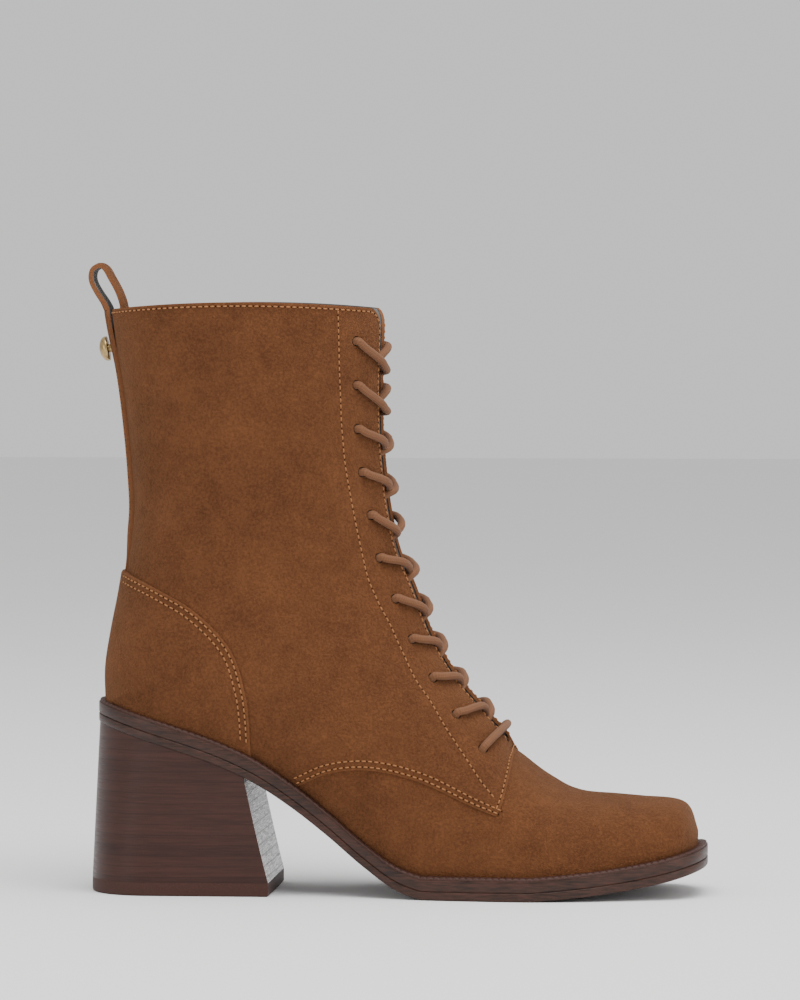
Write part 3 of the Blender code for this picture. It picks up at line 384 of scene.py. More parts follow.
# Soft folds of the suede in side view, each a trough (or a ridge, below zero) from one point to another.
FOLDS = [
    # side, from station, from height, to station, to height, half width, depth
    (-1, 0.470, 0.500, 0.300, 0.400, 0.0065, 0.00055),
    (-1, 0.500, 0.440, 0.350, 0.330, 0.0060, 0.00050),
    (-1, 0.485, 0.470, 0.330, 0.365, 0.0050, -0.00030),
    (-1, 0.340, 0.760, 0.270, 0.560, 0.0120, 0.00060),
    (-1, 0.180, 0.880, 0.200, 0.620, 0.0110, 0.00050),
    (-1, 0.250, 0.920, 0.240, 0.700, 0.0100, -0.00040),
    (-1, 0.560, 0.290, 0.480, 0.235, 0.0060, 0.00035),
    (-1, 0.745, 0.165, 0.660, 0.085, 0.0060, 0.00045),
    (-1, 0.790, 0.150, 0.720, 0.075, 0.0055, 0.00035),
    (-1, 0.770, 0.155, 0.690, 0.080, 0.0045, -0.00025),
    (1, 0.480, 0.480, 0.290, 0.420, 0.0070, 0.00055),
    (1, 0.510, 0.420, 0.370, 0.310, 0.0055, 0.00045),
    (1, 0.330, 0.800, 0.290, 0.540, 0.0120, 0.00060),
    (1, 0.190, 0.860, 0.210, 0.640, 0.0100, 0.00045),
    (1, 0.750, 0.160, 0.670, 0.080, 0.0060, 0.00045),
    (1, 0.800, 0.145, 0.730, 0.070, 0.0050, 0.00030),
]
# Where each lace strand crosses its own facing's edge, as a share of the way down to the next eyelet.
STRAND_DROP = [
    # lateral, medial
    (0.56, 0.16),
    (0.60, 0.20),
    (0.44, 0.42),
    (0.42, 0.46),
    (0.52, 0.30),
    (0.40, 0.44),
    (0.50, 0.40),
    (0.42, 0.40),
    (0.46, 0.44),
    (0.40, 0.40),
]
# The lateral strand passes over the medial one at this many crossings from the top, and under it below.
LATERAL_OVER = 2
# How far the middle of the lowest bar hangs toward the toe, in girths.
BAR_SAG = 0.26
# Height of a strand between its place under a facing (0) and over one (1), across from its own eyelet (-1).
STRAND_HEIGHT = [
    # across, height
    (-0.92, 1.00),
    (-0.74, 1.06),
    (-0.56, 1.04),
    (-0.44, 0.92),
    (-0.24, 0.74),
    (0.00, 0.50),
    (0.24, 0.24),
    (0.46, 0.02),
    (0.70, -0.04),
    (0.90, 0.00),
]
HEEL_WIDTH_UNTIL, BALL_WIDTH_FROM = 0.30, 0.60
HEEL_RISE_UNTIL, TOE_SPRING_FROM = 0.54, 0.72
TOE_CAP_POWER, HEEL_CAP_POWER = 2.6, 2.1
GRID_GIRTHS, GRID_AROUND, RING_POINTS = 481, 121, 400


class BootSizes(bpy.types.PropertyGroup):
    """Sizes of the stitching, lacing and folds."""

    lace_diameter: bpy.props.FloatProperty(
        name="Lace diameter", description="Diameter of the round lace",
        default=0.0032, unit="LENGTH", precision=4,
    )
    eyelet_diameter: bpy.props.FloatProperty(
        name="Eyelet diameter", description="Diameter of the punched holes", default=0.0042, unit="LENGTH",
        precision=4,
    )
    stitch_pitch: bpy.props.FloatProperty(
        name="Stitch pitch", description="Distance from stitch to stitch",
        default=0.0025, unit="LENGTH", precision=4,
    )
    thread: bpy.props.FloatProperty(
        name="Thread", description="Diameter of the sewing thread",
        default=0.0006, unit="LENGTH", precision=4,
    )
    fold_depth: bpy.props.FloatProperty(
        name="Fold depth", description="How deep the soft folds are, as a share", default=1.0,
    )
    welt_height: bpy.props.FloatProperty(
        name="Welt height", description="Height of the bead at the foot of the upper", default=0.0013,
        unit="LENGTH", precision=4,
    )


class BootColours(bpy.types.PropertyGroup):
    """Base colours of the boot's finishes, in linear light."""

    suede: bpy.props.FloatVectorProperty(
        name="Suede", description="Suede where the nap lies light",
        subtype="COLOR", default=(0.166, 0.064, 0.0255),
    )
    suede_dark: bpy.props.FloatVectorProperty(
        name="Suede shade", description="Suede where the nap lies dark", subtype="COLOR",
        default=(0.074, 0.027, 0.0108),
    )
    thread: bpy.props.FloatVectorProperty(
        name="Thread", description="Sewing thread", subtype="COLOR", default=(0.38, 0.165, 0.062),
    )
    lace: bpy.props.FloatVectorProperty(
        name="Lace", description="Lace cord", subtype="COLOR", default=(0.185, 0.083, 0.041),
    )
    lining: bpy.props.FloatVectorProperty(
        name="Lining", description="Inner lining", subtype="COLOR", default=(0.10, 0.093, 0.086),
    )
    sole: bpy.props.FloatVectorProperty(
        name="Sole", description="Sole layers", subtype="COLOR", default=(0.034, 0.0165, 0.0115),
    )
    # Lighter streaks along the sole's edge: partly its layer lines, partly painted reflection streaks.
    sole_streak_and_reflection: bpy.props.FloatVectorProperty(
        name="Sole streak", description="Reddish streaks along the sole's edge", subtype="COLOR",
        default=(0.058, 0.0235, 0.0155),
    )
    welt: bpy.props.FloatVectorProperty(
        name="Welt", description="Bead at the foot of the upper",
        subtype="COLOR", default=(0.052, 0.0235, 0.0180),
    )
    stack_light: bpy.props.FloatVectorProperty(
        name="Stack light", description="Lighter layers of the heel",
        subtype="COLOR", default=(0.056, 0.0190, 0.0125),
    )
    stack_dark: bpy.props.FloatVectorProperty(
        name="Stack dark", description="Lines between the heel's layers", subtype="COLOR",
        default=(0.0165, 0.0050, 0.0034),
    )
    brass: bpy.props.FloatVectorProperty(
        name="Brass", description="Stud", subtype="COLOR", default=(0.55, 0.38, 0.17),
    )


class BootStage(bpy.types.PropertyGroup):
    """Camera, lights and floor."""

    distance: bpy.props.FloatProperty(
        name="Camera distance", description="Distance of the camera from the boot's middle", default=2.300,
        unit="LENGTH",
    )
    height: bpy.props.FloatProperty(
        name="Camera height", description="Height of the camera over the floor",
        default=0.2397, unit="LENGTH",
    )
    azimuth: bpy.props.FloatProperty(
        name="Azimuth", description="Turn of the camera from the lateral side toward the toe",
        default=math.radians(4.7), subtype="ANGLE",
    )
    pitch: bpy.props.FloatProperty(
        name="Pitch", description="How far the camera looks down",
        default=math.radians(2.068), subtype="ANGLE",
    )
    lens: bpy.props.FloatProperty(name="Lens", description="Focal length in millimetres", default=207.0)
    offset: bpy.props.FloatProperty(
        name="Aim", description="Place along the boot that is in the middle of the picture", default=0.0010,
        unit="LENGTH",
    )
    key: bpy.props.FloatProperty(
        name="Key light", description="Power of the key light in watts", default=36.0,
    )
    fill: bpy.props.FloatProperty(
        name="Fill light", description="Power of the fill light in watts", default=11.5,
    )
    strip: bpy.props.FloatProperty(
        name="Strip light", description="Power of the heel-side light in watts", default=3.0,
    )
    sky: bpy.props.FloatProperty(name="Sky", description="Strength of the white surroundings", default=0.80)


def spline(knots, values, at):
    """Cubic Hermite curve through the knots, its slopes from neighbouring knots, straight beyond its
    ends."""
    knots, values, at = np.asarray(knots, float), np.asarray(values, float), np.asarray(at, float)
    slopes = np.gradient(values, knots)
    inside = np.clip(at, knots[0], knots[-1])
    i = np.clip(np.searchsorted(knots, inside, side="right") - 1, 0, len(knots) - 2)
    span = knots[i + 1] - knots[i]
    t = (inside - knots[i]) / span
    curve = (
        values[i] * (1 + 2 * t) * (1 - t) ** 2
        + values[i + 1] * t**2 * (3 - 2 * t)
        + span * (slopes[i] * t * (1 - t) ** 2 - slopes[i + 1] * t**2 * (1 - t))
    )
    beyond = at - inside
    return curve + beyond * np.where(beyond < 0, slopes[0], slopes[-1])


def run_lengths(line):
    """Distance gone along a run of points, from 0 at the first."""
    return np.concatenate([[0], np.cumsum(np.linalg.norm(np.diff(line, axis=0), axis=1))])


def resampled(table, gone, at):
    """The rows of a table at other distances than those gone at its own rows."""
    return np.stack([np.interp(at, gone, table[:, i]) for i in range(table.shape[1])], axis=1)


def unit(vectors):
    """The vectors at a length of one."""
    return vectors / np.linalg.norm(vectors, axis=-1, keepdims=True)


def column(table, place):
    """One column of a table."""
    return np.array([row[place] for row in table])


def along(table, place, at):
    """A table's column as a smooth curve over its first column."""
    return spline(column(table, 0), column(table, place), at)


def ramp(value, start, end):
    """Smooth step 3t^2 - 2t^3 from 0 at start to 1 at end."""
    t = np.clip((np.asarray(value, float) - start) / (end - start), 0, 1)
    return t * t * (3 - 2 * t)


def underside(x):
    """Height of the outsole's underside: the heel's rise behind, flat under the ball, toe spring ahead."""
    station = np.asarray(x, float) / LAST_LENGTH
    heel = np.maximum(along(SOLE_LINE, 1, station), 0)
    toe = np.maximum(along(SOLE_LINE, 2, station), 0)
    return HEEL_RISE * heel * (station < HEEL_RISE_UNTIL) + TOE_SPRING * toe * (station > TOE_SPRING_FROM)


def outsole_top(x):
    """Height of the outsole's top."""
    return underside(x) + OUTSOLE_THICKNESS


def midsole_bottom(x):
    """Height of the midsole's underside."""
    return outsole_top(x) + SEAT_GAP


def midsole_top(x):
    """Height of the midsole's top."""
    return midsole_bottom(x) + MIDSOLE_THICKNESS


def feather(x):
    """Height of the feather line, where the upper's edge sits on the midsole."""
    return midsole_top(x) + SEAT_GAP


def end_round(station, depth, exponent):
    """Share of the width left at a distance from a rounded end, on a superellipse."""
    left = np.clip(1 - station * LAST_LENGTH / depth, 0, 1)
    return (1 - left**exponent) ** (1 / exponent)


def half_width(station, side):
    """Half the footprint's width at the feather line: a local share of the heel's or ball's half."""
    size = HEEL_WIDTH + (BALL_WIDTH - HEEL_WIDTH) * ramp(station, HEEL_WIDTH_UNTIL, BALL_WIDTH_FROM)
    share = along(FOOTPRINT, 1 if side == LATERAL else 2, station)
    toe = end_round(1 - station, TOE_CAP_DEPTH, TOE_CAP_POWER)
    return size / 2 * share * toe * end_round(station, HEEL_CAP_DEPTH, HEEL_CAP_POWER)


def back_seam(height):
    """Point of the back seam at a share of the shaft's height: x and z."""
    return along(BACK_SEAM, 1, height) * LAST_LENGTH, feather(0.0) + SHAFT_HEIGHT * height


def girth_frame(girth):
    """Front point, back point and shape of the rings at these girths, from the girth table."""
    rows = np.arange(len(GIRTHS))
    front, rise, back, lateral, medial, widest, front_round, back_round = (
        spline(rows, column(GIRTHS, i), girth) for i in range(8)
    )
    back = np.clip(back, -1, 1)
    back = back * np.abs(back) * (1 + HEEL_EASE) / (np.abs(back) + HEEL_EASE)
    front_x = front * LAST_LENGTH
    throat_x = GIRTHS[int(THROAT_GIRTH)][0] * LAST_LENGTH
    throat_z = feather(throat_x) + INSTEP_HEIGHT
    collar_z = feather(0.0) + SHAFT_HEIGHT
    low = feather(front_x) + INSTEP_HEIGHT * rise
    high = throat_z + (collar_z - throat_z) * (rise - 1)
    front_z = np.where(girth < THROAT_GIRTH, low, high)
    seam_x, seam_z = back_seam(np.maximum(back, 0))
    sole_x = -back * LAST_LENGTH
    on_sole = back < 0
    size = BALL_WIDTH + (COLLAR_WIDTH - BALL_WIDTH) * ramp(girth, THROAT_GIRTH, CROWN_FROM_GIRTH)
    cap = np.where(on_sole, end_round(1 + back, TOE_CAP_DEPTH, TOE_CAP_POWER), 1.0)
    return {
        "front": (front_x, front_z),
        "back": (np.where(on_sole, sole_x, seam_x), np.where(on_sole, feather(sole_x), seam_z)),
        "width": {LATERAL: size / 2 * lateral * cap, MEDIAL: size / 2 * medial * cap},
        "foot": {
            side: np.where(on_sole, half_width(np.maximum(-back, 0), side), 0.0)
            for side in (LATERAL, MEDIAL)
        },
        "widest": widest,
        "front_round": front_round,
        "back_round": back_round,
        "crown": COLLAR_CROWN * ramp(girth, CROWN_FROM_GIRTH, COLLAR_GIRTH),
    }


def girth_ring(girth, side):
    """One side of each ring as evenly spaced points, from the front line to the sole or back seam.

    The front end is a superellipse from the front point to the widest point. The back end is a
    superellipse too, cut off where its width has come down to the footprint's."""
    shape = girth_frame(girth)
    turn = np.linspace(0, math.pi / 2, RING_POINTS // 2)
    front_power, back_power = (2 / shape[name][:, None] for name in ("front_round", "back_round"))
    width, widest = shape["width"][side][:, None], shape["widest"][:, None]
    foot = np.minimum(shape["foot"][side][:, None], width)
    cut = 1 - (foot / np.maximum(width, 1e-9)) ** (2 / back_power)
    share = np.hstack([
        widest * (1 - np.cos(turn) ** front_power),
        widest + (1 - widest) * np.sin(turn[1:]) ** back_power,
    ])
    out = np.hstack([
        width * np.sin(turn) ** front_power,
        width * np.maximum(1 - cut * np.sin(turn[1:]) ** 2, 0) ** (back_power / 2),
    ])
    (front_x, front_z), (back_x, back_z) = shape["front"], shape["back"]
    x = front_x[:, None] + (back_x - front_x)[:, None] * share
    z = front_z[:, None] + (back_z - front_z)[:, None] * share
    z += shape["crown"][:, None] * 4 * share * (1 - share)
    ring = np.stack([x, side * out, z], axis=2)
    steps = np.linalg.norm(np.diff(ring, axis=1), axis=2)
    length = np.hstack([np.zeros((len(ring), 1)), np.cumsum(steps, axis=1)])
    even = np.linspace(0, 1, GRID_AROUND)
    placed = np.empty((len(ring), GRID_AROUND, 3))
    for row, (points_row, length_row) in enumerate(zip(ring, length)):
        for axis in range(3):
            placed[row, :, axis] = np.interp(even * length_row[-1], length_row, points_row[:, axis])
    return placed, length[:, -1]


class Last:
    """The last's surface as a fine grid over girth and distance round, with its outward normals."""

    def __init__(self):
        self.girths = COLLAR_GIRTH * np.linspace(0, 1, GRID_GIRTHS)
        self.around = np.linspace(0, 1, GRID_AROUND)
        self.points, self.normals, self.lengths = {}, {}, {}
        for side in (LATERAL, MEDIAL):
            points, lengths = girth_ring(self.girths, side)
            normals = np.cross(
                np.gradient(points, self.girths, axis=0), np.gradient(points, self.around, axis=1),
            )
            normals *= -side
            from_foot = (1 - self.around)[None, :] * lengths[:, None]
            on_foot = self.girths[:, None] <= HEEL_GIRTH + 1e-6
            level = np.where(on_foot, ramp(from_foot, 0, LEVEL_ABOVE_FEATHER), 1)
            normals[..., 2] *= level
            normals[0, :, 1] = normals[0, :, 2] = 0
            normals[0, :, 0] = 1
            normals[:, 0, 1] = 0
            normals[self.girths >= HEEL_GIRTH, -1, 1] = 0
            normals /= np.maximum(np.linalg.norm(normals, axis=2, keepdims=True), 1e-12)
            self.points[side], self.normals[side], self.lengths[side] = points, normals, lengths
        for seam in (np.s_[:, 0], np.s_[0, :], np.s_[self.girths >= HEEL_GIRTH, -1]):
            mean = self.normals[LATERAL][seam] + self.normals[MEDIAL][seam]
            mean /= np.maximum(np.linalg.norm(mean, axis=-1, keepdims=True), 1e-12)
            self.normals[LATERAL][seam] = self.normals[MEDIAL][seam] = mean

    def at(self, side, girth, around, lift=0.0):
        """Points of one side, lifted off the last along its normals. All three may be arrays."""
        girth, around, lift = np.broadcast_arrays(
            np.asarray(girth, float), np.asarray(around, float), np.asarray(lift, float)
        )
        row = np.clip(girth / COLLAR_GIRTH, 0, 1) * (GRID_GIRTHS - 1)
        col = np.clip(around, 0, 1) * (GRID_AROUND - 1)
        i = np.minimum(row.astype(int), GRID_GIRTHS - 2)
        j = np.minimum(col.astype(int), GRID_AROUND - 2)
        a, b = (row - i)[..., None], (col - j)[..., None]

        def mixed(grid):
            return (grid[i, j] * (1 - a) + grid[i + 1, j] * a) * (1 - b) + (
                grid[i, j + 1] * (1 - a) + grid[i + 1, j + 1] * a
            ) * b

        normal = mixed(self.normals[side])
        normal /= np.linalg.norm(normal, axis=-1, keepdims=True)
        point = mixed(self.points[side]) + normal * lift[..., None]
        floor = feather(point[..., 0])
        on_feather = (around >= 1) & (girth <= HEEL_GIRTH + 1e-6)
        point[..., 2] = np.where(on_feather, floor, np.maximum(point[..., 2], floor))
        return point

    def length(self, side, girth):
        """Length round the rings of one side."""
        return np.interp(girth, self.girths, self.lengths[side])

    def find(self, side, x, z):
        """Girth and share round of the surface points at x and z in side view."""
        shape = girth_frame(self.girths)
        (front_x, front_z), (back_x, back_z) = shape["front"], shape["back"]
        along_x, along_z = back_x - front_x, back_z - front_z
        size = np.hypot(along_x, along_z)
        found = []
        for px, pz in zip(np.atleast_1d(x), np.atleast_1d(z)):
            out_x, out_z = px - front_x, pz - front_z
            share = (out_x * along_x + out_z * along_z) / size**2
            off = (out_x * along_z - out_z * along_x) / size + shape["crown"] * 4 * share * (1 - share)
            inside = (share > -0.02) & (share < 1.02)
            change = np.flatnonzero((off[:-1] * off[1:] <= 0) & inside[:-1] & inside[1:])
            i = change[0] if len(change) else np.argmin(np.abs(off) + ~inside)
            i = min(i, len(off) - 2)
            t = off[i] / (off[i] - off[i + 1]) if off[i] != off[i + 1] else 0.0
            girth = self.girths[i] + t * (self.girths[i + 1] - self.girths[i])
            ring = self.at(side, girth, self.around)[:, [0, 2]] - np.array([px, pz])
            step = np.diff(ring, axis=0)
            size_2 = np.maximum(np.sum(step**2, axis=1), 1e-18)
            t = np.clip(-np.sum(ring[:-1] * step, axis=1) / size_2, 0, 1)
            place = np.linalg.norm(ring[:-1] + step * t[:, None], axis=1).argmin()
            found.append((girth, self.around[place] + t[place] / (GRID_AROUND - 1)))
        return np.array(found).T


def throat_distance(girth):
    """Distance from the front line to the facing's edge, with the facing's top corner rounded."""
    length = LAST.length(LATERAL, girth)
    front = LAST.at(LATERAL, girth, 0.0)
    top = LAST.at(LATERAL, COLLAR_GIRTH, 0.0)
    up = np.clip(FACING_CORNER - np.hypot(front[..., 0] - top[0], front[..., 2] - top[2]), 0, FACING_CORNER)
    corner = FACING_CORNER - np.sqrt(FACING_CORNER**2 - 0.96 * up**2)
    return np.minimum(THROAT_HALF_GAP + corner, TOE_SHARE * length + corner)


def around_at(girth, out):
    """Share round a ring at a place between the facing's edge (0) and the sole or back seam (1)."""
    edge = throat_distance(girth) / LAST.length(LATERAL, girth)
    return edge + (1 - edge) * out


def seam_points(table, count):
    """Side-view points along a seam table, evenly spaced by the table's own steps."""
    places = np.linspace(0, len(table) - 1, count)
    x = spline(np.arange(len(table)), column(table, 0), places) * LAST_LENGTH
    z = spline(np.arange(len(table)), column(table, 1), places) * (feather(0.0) + SHAFT_HEIGHT)
    return x, z


def sole_offset(x):
    """Overhang of the sole past the last: more at the heel, where the counter lies over the quarters."""
    return WELT_OVERHANG + HEEL_SEAT_EXTRA * (1 - ramp(x, 0.22 * LAST_LENGTH, 0.42 * LAST_LENGTH))


def upper_outside(x):
    """How far the upper's outermost layer stands off the last at the feather line."""
    heel, waist = COUNTER_SEAM[0][0] * LAST_LENGTH, QUARTER_SEAM[0][0] * LAST_LENGTH
    counter = (OVERLAY_GAP + COUNTER_THICKNESS) * (1 - ramp(x, heel + 0.001, heel + 0.006))
    return counter + QUARTER_STEP * (1 - ramp(x, waist + 0.001, waist + 0.006))


LAST = Last()
TOP_PIECE_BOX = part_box("top_piece")
SHIFT = np.array([
    TOP_PIECE_BOX[0].x + HEEL_FOOT_BACK,
    (TOP_PIECE_BOX[0].y + TOP_PIECE_BOX[1].y) / 2,
    TOP_PIECE_BOX[0].z,
])


def side_outline(*parts):
    """Closed side-view outline from runs of x and z."""
    x = np.concatenate([np.atleast_1d(part[0]) for part in parts])
    z = np.concatenate([np.atleast_1d(part[1]) for part in parts])
    return x, z


def vamp_outline():
    """Side view of what lies in front of and below the quarters' edge."""
    low, front = seam_points(QUARTER_SEAM, 33), seam_points(FACING_FOOT, 13)
    reach, margin = LAST_LENGTH + 0.03, 0.03
    top = front[1][-1] + margin
    return side_outline(low, front, ([front[0][-1], reach, reach, low[0][0]], [top, top, -margin, -margin]))


def counter_outline():
    """Side view of the heel counter, out to behind and below the boot."""
    x, z = seam_points(COUNTER_SEAM, 49)
    low, back = HEEL_RISE / 2, -0.03
    return side_outline((x, z), ([back, back, x[0]], [z[-1], low, low]))


def outline_distance(x, z, outline):
    """Distance to a closed side-view outline, positive inside it: the least distance to its segments,
    signed by how many of them a ray along x crosses."""
    ax, az = outline
    bx, bz = np.roll(ax, -1), np.roll(az, -1)
    px, pz = np.asarray(x).reshape(-1, 1), np.asarray(z).reshape(-1, 1)
    dx, dz = bx - ax, bz - az
    t = np.clip(((px - ax) * dx + (pz - az) * dz) / np.maximum(dx**2 + dz**2, 1e-18), 0, 1)
    near = np.hypot(px - ax - t * dx, pz - az - t * dz).min(axis=1)
    over = (az > pz) != (bz > pz)
    cross = ax + (pz - az) * dx / np.where(dz == 0, 1e-12, dz)
    inside = ((px < cross) & over).sum(axis=1) % 2 == 1
    return np.where(inside, near, -near).reshape(np.shape(x))


def grid_triangles(index):
    """Triangles between neighbouring entries of a grid of point numbers."""
    corners = index[:-1, :-1], index[1:, :-1], index[1:, 1:], index[:-1, 1:]
    a, b, c, d = (corner.reshape(-1) for corner in corners)
    return np.concatenate([np.stack([a, b, c], axis=1), np.stack([a, c, d], axis=1)])


def sheet(sides, girth, around):
    """Places on the last (side, girth, share round) over a grid on one or both sides, with triangles."""
    girth, around = np.broadcast_arrays(girth, around)
    places, faces = [], []
    for number, side in enumerate(sides):
        places.append(np.stack([np.full(girth.size, side), girth.reshape(-1), around.reshape(-1)], axis=1))
        made = grid_triangles(numbered(girth)) + number * girth.size
        faces.append(made if side == LATERAL else made[:, ::-1])
    return np.concatenate(places), np.concatenate(faces)


def numbered(grid):
    """Point numbers of a grid of points, in the grid's own shape."""
    return np.arange(grid.shape[0] * grid.shape[1]).reshape(grid.shape[:2])


def trimmed(places, faces, value):
    """Part of a triangle sheet where value is positive. A triangle that value changes sign in is cut
    there, each cut edge at the share v0 / (v0 - v1) of its length."""
    inside = value > 0
    count = inside[faces].sum(axis=1)

    def odd_first(part, odd):
        first = np.argmax(inside[part] == odd, axis=1)
        return np.take_along_axis(part, (first[:, None] + np.arange(3)) % 3, axis=1)

    one, two = odd_first(faces[count == 1], True), odd_first(faces[count == 2], False)
    ends = np.concatenate([one[:, [0, 1]], one[:, [0, 2]], two[:, [0, 1]], two[:, [0, 2]]])
    cut, place = np.unique(ends.min(axis=1) * len(places) + ends.max(axis=1), return_inverse=True)
    low, high = cut // len(places), cut % len(places)
    t = (value[low] / (value[low] - value[high]))[:, None]
    place = place.reshape(-1) + len(places)
    a, b, c, d = np.split(place, np.cumsum([len(one), len(one), len(two)]))
    made = np.concatenate([
        faces[count == 3],
        np.stack([one[:, 0], a, b], axis=1),
        np.stack([c, two[:, 1], two[:, 2]], axis=1),
        np.stack([c, two[:, 2], d], axis=1),
    ])
    used, made = np.unique(made, return_inverse=True)
    return np.concatenate([places, places[low] * (1 - t) + places[high] * t])[used], made.reshape(-1, 3)


def lifted(places, lift):
    """Points over places on the last, at a lift along its normals."""
    lift = np.broadcast_to(lift, len(places))
    points = np.empty((len(places), 3))
    for side in (LATERAL, MEDIAL):
        on = places[:, 0] == side
        points[on] = LAST.at(side, places[on, 1], places[on, 2], lift[on])
    return points


def sound(faces):
    """The triangles whose three corners differ."""
    return faces[(faces[:, 0] != faces[:, 1]) & (faces[:, 1] != faces[:, 2]) & (faces[:, 2] != faces[:, 0])]


def walled(outer, inner, faces):
    """Closed wall between an outer sheet and its inner copy. The last result is 0, 1 or 2 on outer faces,
    inner faces and the rim."""
    _, first, place = np.unique(np.round(outer, 6) + 0.0, axis=0, return_index=True, return_inverse=True)
    faces = sound(place.reshape(-1)[faces])
    count = len(first)
    edges = np.concatenate([faces[:, [0, 1]], faces[:, [1, 2]], faces[:, [2, 0]]])
    free = ~np.isin(edges[:, 0] * count + edges[:, 1], edges[:, 1] * count + edges[:, 0])
    a, b = edges[free].T
    rim = np.concatenate([np.stack([b, a, a + count], axis=1), np.stack([b, a + count, b + count], axis=1)])
    made = np.concatenate([faces, faces[:, ::-1] + count, rim])
    part = np.repeat([0, 1, 2], [len(faces), len(faces), len(rim)])
    return np.concatenate([outer[first], inner[first]]), made, part, np.concatenate([first, first])


def welded(points, faces):
    """The points with those that coincide merged, and the faces that are left."""
    _, first, place = np.unique(np.round(points, 7) + 0.0, axis=0, return_index=True, return_inverse=True)
    return points[first], sound(place.reshape(-1)[faces])


def grid_mesh(grid):
    """Welded points and triangles of a grid of points."""
    return welded(grid.reshape(-1, 3), grid_triangles(numbered(grid)))


def closed_mesh(grid):
    """The same with the grid's last column joined to its first."""
    return grid_mesh(np.concatenate([grid, grid[:, :1]], axis=1))


def tube_faces(rings, sides):
    """Triangles round a run of rings, with fans over its two ends."""
    index = np.arange(rings * sides).reshape(rings, sides)
    faces = grid_triangles(np.hstack([index, index[:, :1]]))
    fan = np.arange(1, sides - 1)
    low = np.stack([np.zeros_like(fan), fan, fan + 1], axis=1)
    return np.concatenate([faces, low, low[:, ::-1] + (rings - 1) * sides])


def repeated(faces, count, points):
    """The triangles of one small shape for as many copies of it, each with its own points."""
    return (faces[None] + (np.arange(count) * points)[:, None, None]).reshape(-1, 3)


def outward(points, faces):
    """The faces, turned round if the volume they enclose comes out negative."""
    corner = points[faces]
    volume = np.einsum("ij,ij->i", corner[:, 0], np.cross(corner[:, 1], corner[:, 2])).sum()
    return faces[:, ::-1] if volume < 0 else faces


def add_piece(name, points, faces, materials, slot, nodes=(), part=None, fields=None, sharp=40.0):
    """Mesh object from arrays, with its materials, the solids it stands for and its point fields."""
    points = np.asarray(points, float) + SHIFT
    faces = outward(points - points.mean(axis=0), np.asarray(faces))
    mesh = bpy.data.meshes.new(name)
    mesh.vertices.add(len(points))
    mesh.vertices.foreach_set("co", points.astype(np.float32).reshape(-1))
    mesh.loops.add(faces.size)
    mesh.loops.foreach_set("vertex_index", faces.astype(np.int32).reshape(-1))
    mesh.polygons.add(len(faces))
    mesh.polygons.foreach_set("loop_start", np.arange(0, faces.size, faces.shape[1], dtype=np.int32))
    mesh.update(calc_edges=True)
    for material in materials:
        mesh.materials.append(material)
    if part is not None:
        mesh.polygons.foreach_set("material_index", np.minimum(part, len(materials) - 1).astype(np.int32))
    mesh.polygons.foreach_set("use_smooth", np.ones(len(faces), bool))
    for title, values in (fields or {}).items():
        made = mesh.attributes.new(title, "FLOAT", "POINT")
        made.data.foreach_set("value", np.asarray(values, np.float32))
    mesh.validate()
    mesh.set_sharp_from_angle(angle=math.radians(sharp))
    piece = bpy.data.objects.new(name, mesh)
    bpy.context.scene.collection.objects.link(piece)
    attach(piece, BODY)
    if nodes:
        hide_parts(*nodes)
    return piece


def suede_piece(name, node, outer, inner, faces, edge, sharp=40.0):
    """Closed suede sheet from its two faces, with the lining's colour behind and a raw edge round it; the
    field holds each point's distance from the edge."""
    points, faces, part, source = walled(outer, inner, faces)
    materials = [finish_suede(), finish_lining(), finish_cut_edge()]
    return add_piece(name, points, faces, materials, "suede", [node], part, {"edge": edge[source]}, sharp)


def suede_grid(name, node, outer, inner, edge, sharp=40.0):
    """The same from two grids of points."""
    faces = grid_triangles(numbered(outer))
    outer, inner = outer.reshape(-1, 3), inner.reshape(-1, 3)
    return suede_piece(name, node, outer, inner, faces, edge.reshape(-1), sharp)


def eyelet_reach(girth):
    """Distance of the eyelets from the front line at these girths."""
    return THROAT_HALF_GAP + EYELET_INSET * along(EYELET_LINE, 1, girth)


def strand_across(girth, share):
    """Distance from the front line at a share of the way to the eyelets; the facing's edge has its own."""
    edge = THROAT_HALF_GAP / (THROAT_HALF_GAP + EYELET_INSET)
    in_gap = THROAT_HALF_GAP * np.minimum(np.abs(share) / edge, 1)
    past_edge = np.maximum(np.abs(share) - edge, 0) / (1 - edge)
    return np.sign(share) * (in_gap + (eyelet_reach(girth) - THROAT_HALF_GAP) * past_edge)


def lacing_line():
    """Girths of the eyelets, and the distance down the facing as two arrays: distances and girths."""
    girth = np.linspace(COLLAR_GIRTH, THROAT_GIRTH - 0.4, 600)
    line = LAST.at(LATERAL, girth, eyelet_reach(girth) / LAST.length(LATERAL, girth), QUARTER_STEP)
    gone = run_lengths(line)
    return np.interp(EYELET_DROP + EYELET_PITCH * np.arange(EYELET_PAIRS), gone, girth), gone, girth


def outline_on(places, outline):
    """Side-view distance of places on the last to an outline, positive inside it."""
    base = lifted(places, 0.0)
    return outline_distance(base[:, 0], base[:, 2], outline)


def eyelet_distance(places):
    """Distance from the nearest eyelet's rim, negative in the hole."""
    girth = lacing_line()[0]
    points = lifted(places, QUARTER_STEP)
    radius = bpy.context.scene.boot_sizes.eyelet_diameter / 2
    near = np.full(len(places), 1.0)
    for side in (LATERAL, MEDIAL):
        around = eyelet_reach(girth) / LAST.length(side, girth)
        centres = LAST.at(side, girth, around, QUARTER_STEP)
        on = places[:, 0] == side
        apart = np.linalg.norm(points[on][:, None] - centres[None], axis=2).min(axis=1)
        near[on] = apart - radius
    return near


